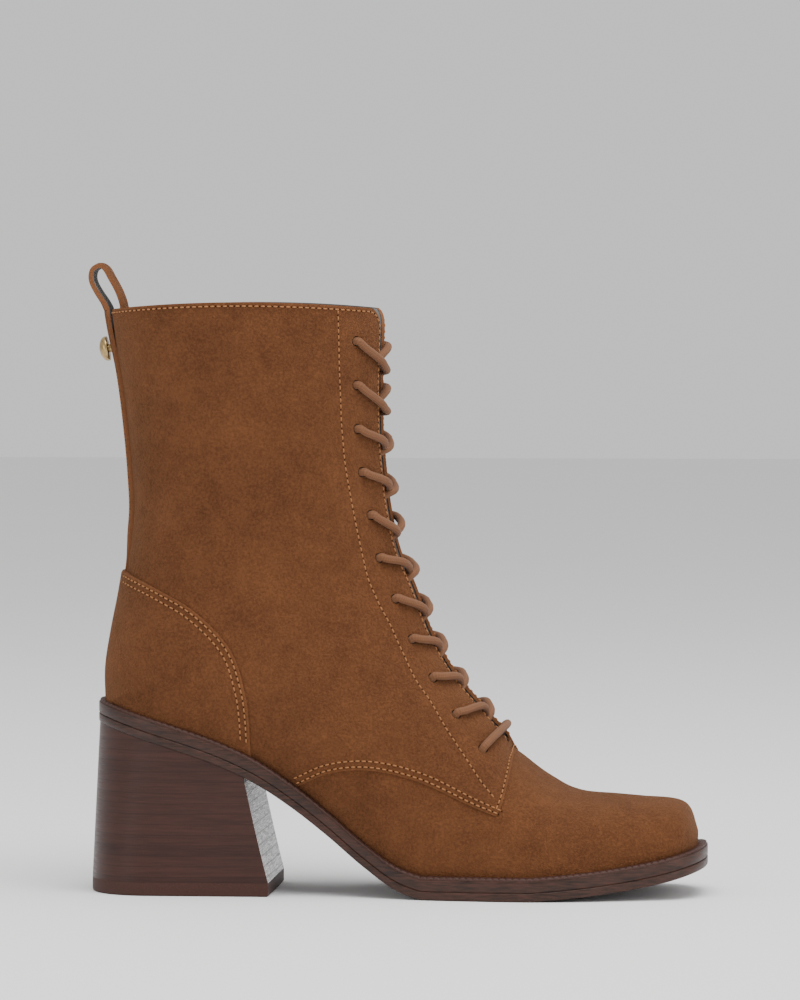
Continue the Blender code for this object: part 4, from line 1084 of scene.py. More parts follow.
def relief(places):
    """Lift of the suede's soft unevenness and folds over places on the last.

    Each fold is a bell exp(-(d/w)^2) of the side-view distance d to its line, tapered toward both ends;
    all fade out toward the back seam and the collar."""
    base = lifted(places, 0.0)
    x, z = base[:, 0] / LAST_LENGTH, base[:, 2] / (feather(0.0) + SHAFT_HEIGHT)
    lift = UNEVEN * (
        np.sin(61 * x + 23 * z) * np.cos(47 * z - 19 * x) + np.sin(37 * z + 5) * np.cos(53 * x + 2)
    )
    tall = (feather(0.0) + SHAFT_HEIGHT) / LAST_LENGTH
    for side, x0, z0, x1, z1, width, depth in FOLDS:
        run_x, run_z = x1 - x0, (z1 - z0) * tall
        size = run_x**2 + run_z**2
        t = ((x - x0) * run_x + (z - z0) * tall * run_z) / size
        held = np.clip(t, 0, 1)
        away = np.hypot(x - x0 - held * run_x, (z - z0) * tall - held * run_z) * LAST_LENGTH
        taper = ramp(t, -0.25, 0.25) * (1 - ramp(t, 0.75, 1.25))
        lift -= (places[:, 0] == side) * depth * taper * np.exp(-((away / width) ** 2))
    at_back = ramp(places[:, 2], 0.84, 0.96) * (places[:, 1] > HEEL_GIRTH)
    calm = (1 - at_back) * (1 - ramp(places[:, 1], 15.2, 15.9))
    return lift * calm * bpy.context.scene.boot_sizes.fold_depth


def facing_distance(places):
    """Distance round from the facing's edge."""
    girth = places[:, 1]
    length = np.where(places[:, 0] == LATERAL, LAST.length(LATERAL, girth), LAST.length(MEDIAL, girth))
    return places[:, 2] * length - throat_distance(girth) * length / LAST.length(LATERAL, girth)


def slit_distance(places, step=0.0):
    """Distance from the slit: from the facing's edge moved by a step, and below the slit's end."""
    return np.maximum(facing_distance(places) - step, (SLIT_END_GIRTH - places[:, 1]) * SLIT_TAPER)


def collar_distance(places):
    """Height below the collar's edge."""
    top = places.copy()
    top[:, 1] = COLLAR_GIRTH
    return lifted(top, 0.0)[:, 2] - lifted(places, 0.0)[:, 2]


def quarter_lift(places):
    """Lift of the quarters' outer face, rounded down over the last millimetre at each edge; the distances
    to the nearest edge and to the vamp's seam."""
    seam = -outline_on(places, vamp_outline())
    edge = np.minimum(np.minimum(seam, facing_distance(places)), collar_distance(places))
    edge = np.minimum(edge, eyelet_distance(places))
    return QUARTER_STEP + relief(places) - EDGE_DROP * (1 - ramp(edge, 0, EDGE_DROP_WIDTH)), edge, seam


def build_quarter(side, name):
    """One quarter: the last's surface from low on the instep to the collar, trimmed at the vamp's seam
    and the eyelets."""
    girth = np.concatenate([
        np.linspace(QUARTER_FOOT_GIRTH, HEEL_GIRTH, 150), np.linspace(HEEL_GIRTH, COLLAR_GIRTH, 125)[1:],
    ])[:, None]
    places, faces = sheet([side], girth, around_at(girth, np.linspace(0, 1, 100)[None, :] ** 1.12))
    seam = -outline_on(places, vamp_outline())
    places, faces = trimmed(places, faces, np.minimum(seam, eyelet_distance(places)))
    lift, edge, seam = quarter_lift(places)
    under = SUEDE_BACK * ramp(seam, VAMP_TUCK, VAMP_TUCK + VAMP_TUCK_EASE)
    return suede_piece(name, "upper", lifted(places, lift), lifted(places, under), faces, edge)


def build_vamp():
    """Vamp: the last's surface from the toe to the instep, tucked under the quarters and slit at the
    throat."""
    near = SLIT_END_GIRTH * np.linspace(0, 1, 96) ** 1.7
    girth = np.concatenate([near, np.linspace(SLIT_END_GIRTH, VAMP_TOP_GIRTH, 64)[1:]])[:, None]
    places, faces = sheet((LATERAL, MEDIAL), girth, np.linspace(0, 1, 100)[None, :])
    seam = outline_on(places, vamp_outline())
    places, faces = trimmed(places, faces, np.minimum(seam + VAMP_TUCK, slit_distance(places)))
    seam = outline_on(places, vamp_outline())
    outer = lifted(places, relief(places) * ramp(seam, 0, 0.006))
    # The vamp's edge lies under the quarters, so no point of it is near enough to an edge to be lightened.
    return suede_piece("suede_vamp", "upper", outer, lifted(places, SUEDE_BACK), faces, seam + 0.02)


def build_lining():
    """Lining inside the whole upper, a little short of the collar and facing edges, with the eyelets
    through."""
    near = SLIT_END_GIRTH * np.linspace(0, 1, 40) ** 1.7
    girth = np.concatenate([near, np.linspace(SLIT_END_GIRTH, COLLAR_GIRTH - 0.02, 150)[1:]])[:, None]
    places, faces = sheet((LATERAL, MEDIAL), girth, np.linspace(0, 1, 90)[None, :] ** 1.25)
    clear = np.minimum(slit_distance(places, LINING_STEP_DOWN), eyelet_distance(places))
    places, faces = trimmed(places, faces, clear)
    outer, inner = lifted(places, SUEDE_BACK - LAYER_GAP), lifted(places, -UPPER_WALL)
    points, faces, part, _ = walled(outer, inner, faces)
    return add_piece("inner_lining", points, faces, [finish_lining()], "lining", ["upper"], part)


def counter_lift(places):
    """Lift of the counter's outer face: a thin edge at its seam that grows to the full stand-off; the
    distance to the seam."""
    seam = outline_on(places, counter_outline())
    behind = ramp(places[:, 2], 0.80, 0.97) * (places[:, 1] > HEEL_GIRTH)
    thin = QUARTER_STEP + COUNTER_EDGE + COUNTER_EDGE_AT_SEAM * behind
    full = QUARTER_STEP + OVERLAY_GAP + COUNTER_THICKNESS
    lift = thin + (full - thin) * ramp(seam, *COUNTER_EASE)
    lift -= EDGE_DROP * (1 - ramp(seam, 0, COUNTER_EDGE_WIDTH))
    return lift + relief(places), seam


def build_counter():
    """Heel counter: the last's surface round the heel, trimmed along its own seam."""
    girth = np.linspace(*COUNTER_GIRTHS, 150)[:, None]
    places, faces = sheet((LATERAL, MEDIAL), girth, 1 - 0.78 * np.linspace(1, 0, 84)[None, :])
    places, faces = trimmed(places, faces, outline_on(places, counter_outline()))
    lift, seam = counter_lift(places)
    inner = lifted(places, QUARTER_STEP - LAYER_GAP)
    return suede_piece("suede_counter", "counter", lifted(places, lift), inner, faces, seam)


def seam_girth(height):
    """Girth of a place on the back seam, given as a share of the shaft's height."""
    x, z = back_seam(height)
    return float(LAST.find(LATERAL, [x], [z])[0][0])


def stay_section(girth, lift, fraction):
    """Points across the back seam: one row for each girth, one column for each fraction of the half
    width."""
    girth, lift = np.atleast_1d(girth)[:, None], np.asarray(lift)
    across = STAY_WIDTH / 2 * np.asarray(fraction)[None, :]
    both = [
        LAST.at(side, girth, 1 - np.abs(across) / LAST.length(side, girth), lift)
        for side in (LATERAL, MEDIAL)
    ]
    return np.where((across > 0)[..., None], both[1], both[0])


def build_back_strip():
    """Strip over the back seam, turned over above the collar as the pull loop and down inside.

    Its section is the seam's own, crowned by 1 - f^4; the loop follows its path table, its ends eased
    into the strip by the square of the way from its middle."""
    fraction = np.linspace(-1, 1, 17)
    crown = 1 - fraction[None, :] ** 4
    low = seam_girth(STRIP_FOOT)
    girth = np.linspace(low, COLLAR_GIRTH, 90)
    rise = ramp(girth, LOOP_END_GIRTH, COLLAR_GIRTH)[:, None]
    full = OVERLAY_GAP + STRIP_EDGE + STRIP_CROWN * crown - STRIP_THIN
    top = QUARTER_STEP + STRIP_THIN + full * ramp(girth, low + 0.1, low + 0.9)[:, None]
    outer = stay_section(girth, top + (LOOP_THICKNESS - STRIP_EDGE - STRIP_CROWN) * rise, fraction)
    inner = stay_section(girth, QUARTER_STEP - LAYER_GAP + (OVERLAY_GAP + LAYER_GAP) * rise, fraction)
    inside = -(UPPER_WALL + STRIP_INSIDE_GAP)
    down = np.linspace(COLLAR_GIRTH, LOOP_END_GIRTH, 12)
    outer_down = stay_section(down, inside - LOOP_THICKNESS, fraction)
    inner_down = stay_section(down, inside, fraction)
    start, end = (outer[-1] + inner[-1]) / 2, (outer_down[0] + inner_down[0]) / 2
    middle = len(fraction) // 2
    knots = np.arange(len(LOOP_PATH))
    fine = np.linspace(0, len(LOOP_PATH) - 1, 66)
    lean, up = (spline(knots, column(LOOP_PATH, i), fine) for i in (0, 1))
    close = ramp(fine, len(LOOP_PATH) - 5, len(LOOP_PATH) - 1)
    x = start[middle, 0] - LOOP_LEAN * lean
    z = start[middle, 2] + LOOP_HEIGHT * up
    x += (end[middle, 0] - x[-1]) * close
    z += (end[middle, 2] - z[-1]) * close
    step_x, step_z = np.gradient(x), np.gradient(z)
    size = np.hypot(step_x, step_z)
    side_x, side_z = -step_z / size, step_x / size
    fade = (np.abs(2 * fine / fine[-1] - 1) ** 2)[:, None]
    ends = np.where((fine < fine[-1] / 2)[:, None, None], start[None], end[None])
    y = ends[..., 1] * fade + STAY_WIDTH / 2 * fraction[None, :] * (1 - fade)
    sag = (ends[..., 0] - ends[:, middle : middle + 1, 0]) * fade
    sheets = []
    for shift in (0.5, -0.5):
        thick = LOOP_THICKNESS * shift * (1 - 0.18 * fraction[None, :] ** 4)
        sheets.append(np.stack([
            x[:, None] + sag + side_x[:, None] * thick, y, z[:, None] + side_z[:, None] * thick,
        ], axis=2)[1:-1])
    outer = np.concatenate([outer, sheets[0], outer_down])
    inner = np.concatenate([inner, sheets[1], inner_down])
    edge = np.broadcast_to((1 - np.abs(fraction)) * STAY_WIDTH / 2, outer.shape[:2])
    return suede_grid("back_strip", "back_stay", outer, inner, edge, 60.0)


def build_stud():
    """Domed stud: a quarter-ellipse dome over a short rim and post, turned about the back seam's normal."""
    girth = seam_girth((SHAFT_HEIGHT - STUD_DROP) / SHAFT_HEIGHT)
    seat = LAST.at(LATERAL, girth, 1.0, QUARTER_STEP + OVERLAY_GAP + STRIP_EDGE + STRIP_CROWN)
    axis = unit(seat - LAST.at(LATERAL, girth, 1.0, 0.0))
    turn = np.linspace(0, math.pi / 2, 14)
    post, rim = STUD_POST_DIAMETER / 2, STUD_DIAMETER / 2
    foot = STUD_POST_LENGTH + 0.0008
    profile = [
        (0, 0), (post, 0), (post, foot - 0.0004), (rim - 0.0006, foot - 0.0004),
        (rim - 0.0001, foot - 0.0003), (rim, foot),
    ]
    dome = np.stack([rim * np.cos(turn), foot + 0.0003 + STUD_DOME * np.sin(turn)], axis=1)
    radius, out = np.concatenate([profile, dome]).T
    side = np.array([0.0, 1.0, 0.0])
    other = np.cross(axis, side)
    spin = np.linspace(0, 2 * math.pi, 49)
    ring = np.cos(spin)[None, :, None] * side + np.sin(spin)[None, :, None] * other
    points, faces = grid_mesh(seat + radius[:, None, None] * ring + out[:, None, None] * axis)
    return add_piece("brass_stud", points, faces, [finish_brass()], "stud", ["stud"], sharp=50.0)


def off_front(girth, across, lift):
    """Points at signed distances across from the front line, lifted off the last."""
    girth, across, lift = np.broadcast_arrays(girth, across, lift)
    both = [
        LAST.at(side, girth, np.minimum(np.abs(across) / LAST.length(side, girth), 0.98), lift)
        for side in (LATERAL, MEDIAL)
    ]
    return np.where((across > 0)[..., None], both[1], both[0])


def build_tongue():
    """Tongue: a strip off the front line, lying on the vamp's inside at its foot and deeper higher up."""
    girth = np.linspace(TONGUE_FOOT_GIRTH, TONGUE_TOP_GIRTH, 120)[:, None]
    across = TONGUE_HALF_WIDTH * np.linspace(-1, 1, 41)[None, :]
    start = UPPER_WALL + SEAT_GAP
    depth = start + (TONGUE_DEPTH - start) * ramp(girth, *TONGUE_SINK)
    outer = off_front(girth, across, -depth)
    inner = off_front(girth, across, -depth - TONGUE_THICKNESS)
    edge = np.broadcast_to(TONGUE_HALF_WIDTH - np.abs(across), outer.shape[:2])
    return suede_grid("tongue_strip", "tongue", outer, inner, edge)


def footprint_edge(offset, count):
    """Plan outline of the footprint moved out by an offset that may change along the foot: for each side,
    points and outward normals at stations crowded toward the two ends."""
    turn = np.linspace(0, math.pi, count)
    x = LAST_LENGTH * (1 - np.cos(turn)) / 2
    halves = []
    for side in (LATERAL, MEDIAL):
        y = half_width(x / LAST_LENGTH, side)
        dx, dy = np.gradient(x), np.gradient(y)
        dx[0], dy[0], dx[-1], dy[-1] = 0.0, 1.0, 0.0, -1.0
        size = np.hypot(dx, dy)
        normal = np.stack([-dy / size, side * dx / size], axis=1)
        halves.append((np.stack([x, side * y], axis=1) + normal * offset(x)[:, None], normal))
    return halves


def sole_layer(offset, profile, low, high, count=300):
    """Closed layer of the sole, from its edge profile and the heights of its underside and top. Each
    profile point is carried along the outline of both sides, and the two meet over the top and
    underneath."""
    columns = []
    for number, (edge, normal) in enumerate(footprint_edge(offset, count)):
        strips = []
        for inset, share in profile:
            plan = edge - normal * inset
            z = low(plan[:, 0]) + (high(plan[:, 0]) - low(plan[:, 0])) * share
            strips.append(np.column_stack([plan, z]))
        columns += strips if number == 0 else strips[::-1]
    return closed_mesh(np.stack(columns, axis=1))


def build_sole():
    """Outsole, midsole and insole, each an edge profile carried along the footprint."""
    outsole = sole_layer(sole_offset, OUTSOLE_EDGE, underside, outsole_top)
    add_piece("sole_outer", *outsole, [finish_sole()], "sole", ["outsole"], sharp=50.0)
    midsole = sole_layer(sole_offset, MIDSOLE_EDGE, lambda x: midsole_bottom(x) - SEAT_GAP, midsole_top)
    add_piece("sole_middle", *midsole, [finish_sole()], "sole_edge", ["midsole"], sharp=50.0)
    sock = sole_layer(
        lambda x: -(UPPER_WALL + INSOLE_GAP) + 0 * x, SOCK_EDGE, feather,
        lambda x: feather(x) + INSOLE_THICKNESS, 160,
    )
    add_piece("insole_sock", *sock, [finish_lining()], "lining", ["insole"], sharp=60.0)


def build_welt():
    """Bead round the foot of the upper. Its outer edge is wheeled: the height falls to a notch once a
    pitch, as 1 - depth * max(cos, 0)^3 of the distance along."""
    bead = bpy.context.scene.boot_sizes.welt_height
    loops = []
    for edge, normal in footprint_edge(lambda x: 0 * x, 1200):
        gone = run_lengths(edge)
        even = np.linspace(0, gone[-1], int(gone[-1] / WELT_PITCH) * WELT_STEPS + 1)
        loops.append((resampled(edge, gone, even), resampled(normal, gone, even)))
    edge, normal = (np.concatenate([one, other[::-1][1:]]) for one, other in zip(*loops))
    normal = unit(normal)
    phase = np.arange(len(edge)) * 2 * math.pi / WELT_STEPS
    notch = WELT_NOTCH * np.maximum(np.cos(phase), 0) ** 3
    inner = upper_outside(edge[:, 0]) - WELT_TUCK
    outer = sole_offset(edge[:, 0]) - WELT_SET_IN
    rows = []
    for across, height, cut in WELT_SECTION:
        out = inner + (outer - inner) * across * (1 - 0.06 * notch * cut)
        plan = edge + normal * out[:, None]
        z = feather(plan[:, 0]) - SEAT_GAP + bead * height * (1 - notch * cut)
        rows.append(np.column_stack([plan, z]))
    points, faces = closed_mesh(np.stack(rows, axis=1))
    return add_piece("welt_bead", points, faces, [finish_welt()], "welt", ["welt"], sharp=60.0)


def heel_plan(length, back, width, ribs):
    """D-shaped plan of the block: stations and half widths, rounded at the back by a superellipse."""
    turn = np.linspace(0, 1, ribs)
    stations = -back + length * (1 - np.cos(turn * math.pi / 2)) ** 1.15
    left = np.clip(1 - (stations + back) / (HEEL_ROUND_SHARE * width), 0, 1)
    return stations, width / 2 * (1 - left**HEEL_ROUND_POWER) ** (1 / HEEL_ROUND_POWER)


def heel_loop(stations, lateral, medial):
    """Closed plan loop: along the lateral side to the back, along the medial side, and across the
    breast."""
    x = np.concatenate([stations[::-1], stations[1:], np.full(BREAST_RIBS, stations[-1])])
    across = np.linspace(medial[-1], -lateral[-1], BREAST_RIBS + 2)[1:-1]
    return np.stack([x, np.concatenate([-lateral[::-1], medial[1:], across])], axis=1)


def build_heel():
    """Block lofted straight from its D-shaped foot up to the sole's own outline, and the top piece under
    it."""
    foot_x, foot_half = heel_plan(HEEL_FOOT_LENGTH, HEEL_FOOT_BACK, HEEL_FOOT_WIDTH, 60)
    halves = footprint_edge(lambda x: sole_offset(x) - HEEL_SEAT_SET_IN, 721)
    start = halves[0][0][0, 0]
    share = (foot_x - foot_x[0]) / (foot_x[-1] - foot_x[0])
    top_x = start + share * (HEEL_TOP_LENGTH - HEEL_TOP_BACK - start)
    lateral, medial = (
        np.interp(top_x, edge[:400, 0], side * edge[:400, 1])
        for side, (edge, _) in zip((LATERAL, MEDIAL), halves)
    )
    low = heel_loop(foot_x, foot_half, foot_half)
    high = heel_loop(top_x, lateral, medial)
    bottom = TOP_PIECE_THICKNESS
    rows = []
    for level in np.linspace(0.0, 1.0, 40):
        plan = low + (high - low) * level
        rows.append(np.column_stack([plan, bottom + (underside(plan[:, 0]) - bottom) * level]))
    foot = np.array([rows[0][:, 0].mean(), 0.0, bottom])
    seat = rows[-1].mean(axis=0)
    seat[2] = underside(seat[0])
    points, faces = closed_mesh(np.stack([0 * rows[0] + foot, *rows, 0 * rows[0] + seat]))
    faces = outward(points - points.mean(axis=0), faces)
    corner = points[faces]
    facing = np.cross(corner[:, 1] - corner[:, 0], corner[:, 2] - corner[:, 0])
    part = (facing[:, 0] > BREAST_FACING * np.linalg.norm(facing, axis=1)).astype(int)
    materials = [finish_stack(), finish_breast()]
    add_piece("heel_block", points, faces, materials, "heel_stack", ["heel"], part, sharp=35.0)
    middle = low.mean(axis=0)
    lift = closed_mesh(np.stack([
        np.column_stack([low + (middle - low) * share, np.full(len(low), height)])
        for share, height in TOP_PIECE_EDGE
    ]))
    add_piece("heel_top_lift", *lift, [finish_top_lift()], "heel_tip", ["top_piece"], sharp=35.0)


def lace_half(side):
    """Girth, distance across and lift of one half of the lace, from its top eyelet down to the lowest
    one."""
    sizes = bpy.context.scene.boot_sizes
    girths = lacing_line()[0]
    radius = sizes.lace_diameter / 2
    over = QUARTER_STEP + radius
    under = -(UPPER_WALL + radius + LAYER_GAP)
    top = eyelet_reach(girths[0])
    rows = [
        (girths[0], side * (top + 0.0015), under - 0.0022),
        (girths[0], side * (top + 0.0004), under + 0.0010),
    ]
    for place in range(EYELET_PAIRS - 1):
        own = side if place % 2 == 0 else -side
        first, second = girths[place], girths[place + 1]
        drop = STRAND_DROP[place][0 if own == LATERAL else 1]
        above = LATERAL if place < LATERAL_OVER else MEDIAL
        rows.append((first, own * (eyelet_reach(first) + 0.0002), (over + under) / 2 + 0.0006))
        rows.append((first, own * (eyelet_reach(first) - 0.0003), over - 0.0006))
        for across, high in STRAND_HEIGHT:
            down = spline([-1.0, -0.51, 0.51, 1.0], [0.02, drop, 0.78 + 0.1 * drop, 1.0], across)
            pass_over = radius * math.exp(-((across / 0.3) ** 2)) * (1 if own == above else -1)
            lift = under + (over - under) * high + pass_over
            girth = first + (second - first) * float(down)
            rows.append((girth, -own * float(strand_across(girth, across)), lift))
        rows.append((second, -own * (eyelet_reach(second) + 0.0004), under + 0.0008))
    return rows


def build_lace():
    """The lace as one round tube. Its centre line is a Hermite curve through the places over, through and
    under the facings, evenly resampled; round it, the radius is turned from the line's side and the
    boot's own up."""
    sizes = bpy.context.scene.boot_sizes
    lowest = lacing_line()[0][-1]
    reach = eyelet_reach(lowest)
    over = QUARTER_STEP + sizes.lace_diameter / 2
    first, second = lace_half(LATERAL), lace_half(MEDIAL)
    last_side = LATERAL if (EYELET_PAIRS - 1) % 2 == 0 else MEDIAL
    bar = [
        (lowest - BAR_SAG * (1 - share**2), last_side * reach * share, over - drop)
        for share, drop in BAR_DROPS
    ]
    rows = np.array(first + bar + second[::-1])
    points = off_front(rows[:, 0], rows[:, 1], rows[:, 2])
    gone = run_lengths(points)
    fine = np.linspace(0, gone[-1], int(gone[-1] / LACE_STEP))
    line = np.stack([spline(gone, points[:, i], fine) for i in range(3)], axis=1)
    girth = np.interp(fine, gone, rows[:, 0])
    up = LAST.at(LATERAL, girth + 0.05, 0.0) - LAST.at(LATERAL, girth - 0.05, 0.0)
    heading = unit(np.gradient(line, axis=0))
    side = unit(np.cross(heading, up))
    other = np.cross(heading, side)
    turn = np.linspace(0, 2 * math.pi, LACE_SIDES, endpoint=False)
    ring = np.cos(turn)[None, :, None] * side[:, None] + np.sin(turn)[None, :, None] * other[:, None]
    grid = line[:, None] + sizes.lace_diameter / 2 * ring
    fields = {"along": np.repeat(fine, LACE_SIDES), "round": np.tile(np.cos(turn), len(line))}
    return add_piece(
        "lace_cord", grid.reshape(-1, 3), tube_faces(len(line), LACE_SIDES), [finish_lace()], "lace",
        ["lace_bar"] + [f"lace_cross_{i:02d}" for i in range(1, EYELET_PAIRS)], fields=fields, sharp=80.0,
    )


def stitches_along(places, lift):
    """Centres, headings and normals of the stitches on a run of places on the last, one each pitch."""
    pitch = bpy.context.scene.boot_sizes.stitch_pitch
    line = lifted(places, lift)
    out = lifted(places, lift + 0.001) - line
    gone = run_lengths(line)
    at = np.arange(pitch / 2, gone[-1], pitch)
    heading = unit(resampled(line, gone, at + pitch / 3) - resampled(line, gone, at - pitch / 3))
    normal = resampled(out, gone, at)
    normal -= heading * np.sum(normal * heading, axis=1, keepdims=True)
    return resampled(line, gone, at), heading, unit(normal)


def offset_row(x, z, inset, outline, inside):
    """Side-view run moved square to itself by an inset, to the side that lies inside an outline or
    outside it."""
    dx, dz = np.gradient(x), np.gradient(z)
    size = np.hypot(dx, dz)
    for sign in (1, -1):
        px, pz = x - sign * inset * dz / size, z + sign * inset * dx / size
        if (np.mean(outline_distance(px, pz, outline)) > 0) == inside:
            break
    return px, pz


def on_last(side, x, z):
    """Places on the last under a side-view run."""
    girth, around = LAST.find(side, x, z)
    return np.stack([np.full(len(girth), side), girth, around], axis=1)


def edge_row(side, inset):
    """Places a fixed inset from the facing's edge, round its top corner and along the collar to the
    strip."""
    _, gone, girth = lacing_line()
    radius = FACING_CORNER - inset
    turn = np.linspace(0, math.pi / 2, 12)
    start = THROAT_HALF_GAP + inset
    down = np.concatenate([
        np.linspace(gone[np.argmin(np.abs(girth - 5.2))], FACING_CORNER, 140)[:-1],
        FACING_CORNER - radius * np.sin(turn),
    ])
    across = np.concatenate([np.full(139, start), start + radius * (1 - np.cos(turn))])
    up = np.interp(down, gone, girth)
    length = LAST.length(side, up)
    front = np.stack([np.full(len(up), side), up, across / length], axis=1)
    end = 1 - (STAY_WIDTH / 2 + 0.0003) / LAST.length(side, COLLAR_GIRTH)
    around = np.linspace(front[-1, 2], end, 90)[1:]
    below = LAST.at(side, COLLAR_GIRTH - 0.1, around)
    rise = np.linalg.norm(LAST.at(side, COLLAR_GIRTH, around) - below, axis=1)
    top = np.stack([np.full(len(around), side), COLLAR_GIRTH - inset * 0.1 / rise, around], axis=1)
    return np.concatenate([front, top])


def stitch_rows():
    """Every sewn row of the upper as places on the last and the lift of the leather under it."""
    rows = []
    for side in (LATERAL, MEDIAL):
        seam = seam_points(QUARTER_SEAM, 120)
        front = ramp(np.arange(120), 60, 119)
        quarter = [
            on_last(side, *offset_row(*seam, back + (fore - back) * front, vamp_outline(), False))
            for back, fore in zip(ROW_INSETS, ROW_INSETS_FRONT)
        ]
        x, z = offset_row(*seam_points(FACING_FOOT, 30), ROW_INSETS[0], vamp_outline(), False)
        facing = on_last(LATERAL, *seam_points(FACING_ROW, 200))
        facing[:, 0] = side
        quarter += [on_last(side, x[2:], z[2:]), facing, edge_row(side, FACING_INSET)]
        rows += [(places, quarter_lift(places)[0]) for places in quarter]
        for inset in ROW_INSETS:
            x, z = offset_row(*seam_points(COUNTER_SEAM, 160), inset, counter_outline(), True)
            places = on_last(side, x, z)
            places = places[places[:, 2] < 1 - (STAY_WIDTH / 2) / COUNTER_ROW_ROUND]
            rows.append((places, counter_lift(places)[0]))
        girth = np.linspace(seam_girth(STRIP_FOOT) + STRIP_ROW_START, STRIP_ROW_END_GIRTH, 200)
        around = 1 - (STAY_WIDTH / 2 - STRIP_ROW_INSET) / LAST.length(side, girth)
        places = np.stack([np.full(200, side), girth, around], axis=1)
        rows.append((places, QUARTER_STEP + OVERLAY_GAP + STRIP_ROW_LIFT + 0 * girth))
    return rows


def build_stitching():
    """Every stitch as a bent capsule, its middle proud of the leather and its ends sunk, and after each a
    dark disc of painted shade standing for its needle hole."""
    sizes = bpy.context.scene.boot_sizes
    found = [stitches_along(*row) for row in stitch_rows()]
    centre, heading, normal = (np.concatenate([row[i] for row in found]) for i in range(3))
    across = np.cross(normal, heading)
    radius, half = sizes.thread / 2, sizes.stitch_pitch * 0.40
    place = np.linspace(-1, 1, 7)
    thick = radius * (1 - np.abs(place) ** 3 * 0.75)
    bend = radius * 0.55 - radius * 1.5 * place**2
    turn = np.linspace(0, 2 * math.pi, 6, endpoint=False)
    along_part = heading[:, None, None] * (half * place)[None, :, None, None]
    up_part = normal[:, None, None] * (bend[:, None] + thick[:, None] * np.sin(turn))[None, ..., None]
    side_part = across[:, None, None] * (thick[:, None] * np.cos(turn))[None, ..., None]
    points = centre[:, None, None] + along_part + up_part + side_part
    faces = repeated(tube_faces(len(place), len(turn)), len(centre), len(place) * len(turn))
    add_piece("sewn_stitches", points.reshape(-1, 3), faces, [finish_thread()], "lace", sharp=80.0)
    # Each needle hole is no hole in the suede but a dark disc of painted shade, its top just proud of it.
    hole = centre + heading * (sizes.stitch_pitch / 2)
    rim = np.cos(turn)[None, :, None] * heading[:, None] + np.sin(turn)[None, :, None] * across[:, None]
    rim *= NEEDLE_HOLE_RADIUS
    lid = (hole + normal * 0.00006)[:, None]
    foot = (hole - normal * 0.0003)[:, None]
    points = np.concatenate([lid + rim, foot + rim], axis=1)
    faces = repeated(tube_faces(2, len(turn)), len(hole), 2 * len(turn))
    add_piece("needle_holes", points.reshape(-1, 3), faces, [finish_hole_shade()], "suede", sharp=30.0)


def feed(tree, node, inputs):
    """Give inputs of a node their values, or link them to other nodes' outputs."""
    for name, value in inputs.items():
        if isinstance(value, bpy.types.NodeSocket):
            tree.links.new(value, node.inputs[name])
        else:
            node.inputs[name].default_value = value


def put(tree, kind, inputs=None, **settings):
    """Node of a kind, with its settings and inputs."""
    made = tree.nodes.new(kind)
    for name, value in settings.items():
        setattr(made, name, value)
    feed(tree, made, inputs or {})
    return made


def blank(name):
    """Material with a node tree, its surface shader and its object coordinates."""
    material = bpy.data.materials.new(name)
    material.use_nodes = True
    tree = material.node_tree
    surface = tree.nodes["Principled BSDF"]
    return material, tree, surface, put(tree, "ShaderNodeTexCoord").outputs["Object"]


def noise(tree, where, scale, detail=3.0, rough=0.55):
    """Smooth noise, its scale in waves a metre."""
    inputs = {"Vector": where, "Scale": scale, "Detail": detail, "Roughness": rough}
    return put(tree, "ShaderNodeTexNoise", inputs).outputs["Fac"]


def stretched(tree, where, scale):
    """Coordinates with each axis scaled by its own share."""
    return put(tree, "ShaderNodeMapping", {"Vector": where, "Scale": scale}).outputs["Vector"]


def math_of(tree, operation, a, b=0.0, c=None):
    """Result of an operation on two or three values."""
    inputs = {0: a, 1: b} if c is None else {0: a, 1: b, 2: c}
    return put(tree, "ShaderNodeMath", inputs, operation=operation).outputs[0]


def field(tree, name):
    """A point field of the mesh."""
    return put(tree, "ShaderNodeAttribute", attribute_name=name).outputs["Fac"]


def span(tree, value, low, high, to_low=0.0, to_high=1.0):
    """Value taken from one range to another and held within it."""
    inputs = {"Value": value, "From Min": low, "From Max": high, "To Min": to_low, "To Max": to_high}
    return put(tree, "ShaderNodeMapRange", inputs).outputs["Result"]


def blend(tree, share, first, second):
    """Colour between two others, at a share of the way."""
    made = put(tree, "ShaderNodeMix", data_type="RGBA", blend_type="MIX")
    first, second = ((*tone, 1.0) if isinstance(tone, tuple) else tone for tone in (first, second))
    feed(tree, made, {0: share, 6: first, 7: second})
    return made.outputs[2]


def bump(tree, height, distance, strength=1.0, after=None):
    """Normal of a relief, over that of another one."""
    inputs = {"Height": height, "Distance": distance, "Strength": strength}
    if after is not None:
        inputs["Normal"] = after
    return put(tree, "ShaderNodeBump", inputs).outputs["Normal"]


def colour(name, share=1.0):
    """A colour of the boot, lighter or darker by a share."""
    return tuple(value * share for value in getattr(bpy.context.scene.boot_colours, name))


def grained(name, grain, dark, light, roughness, specular, relief=None):
    """Material of one grain (scale, detail, roughness) between two tones, which may stand in relief too
    (height, strength)."""
    material, tree, surface, where = blank(name)
    pattern = noise(tree, where, *grain)
    feed(tree, surface, {
        "Base Color": blend(tree, pattern, dark, light),
        "Roughness": roughness,
        "Specular IOR Level": specular,
    })
    if relief:
        feed(tree, surface, {"Normal": bump(tree, pattern, *relief)})
    return material


MADE = {}


def once(build):
    """A finish is made the first time it is asked for and shared afterwards."""

    def shared():
        if build.__name__ not in MADE:
            MADE[build.__name__] = build()
        return MADE[build.__name__]

    return shared


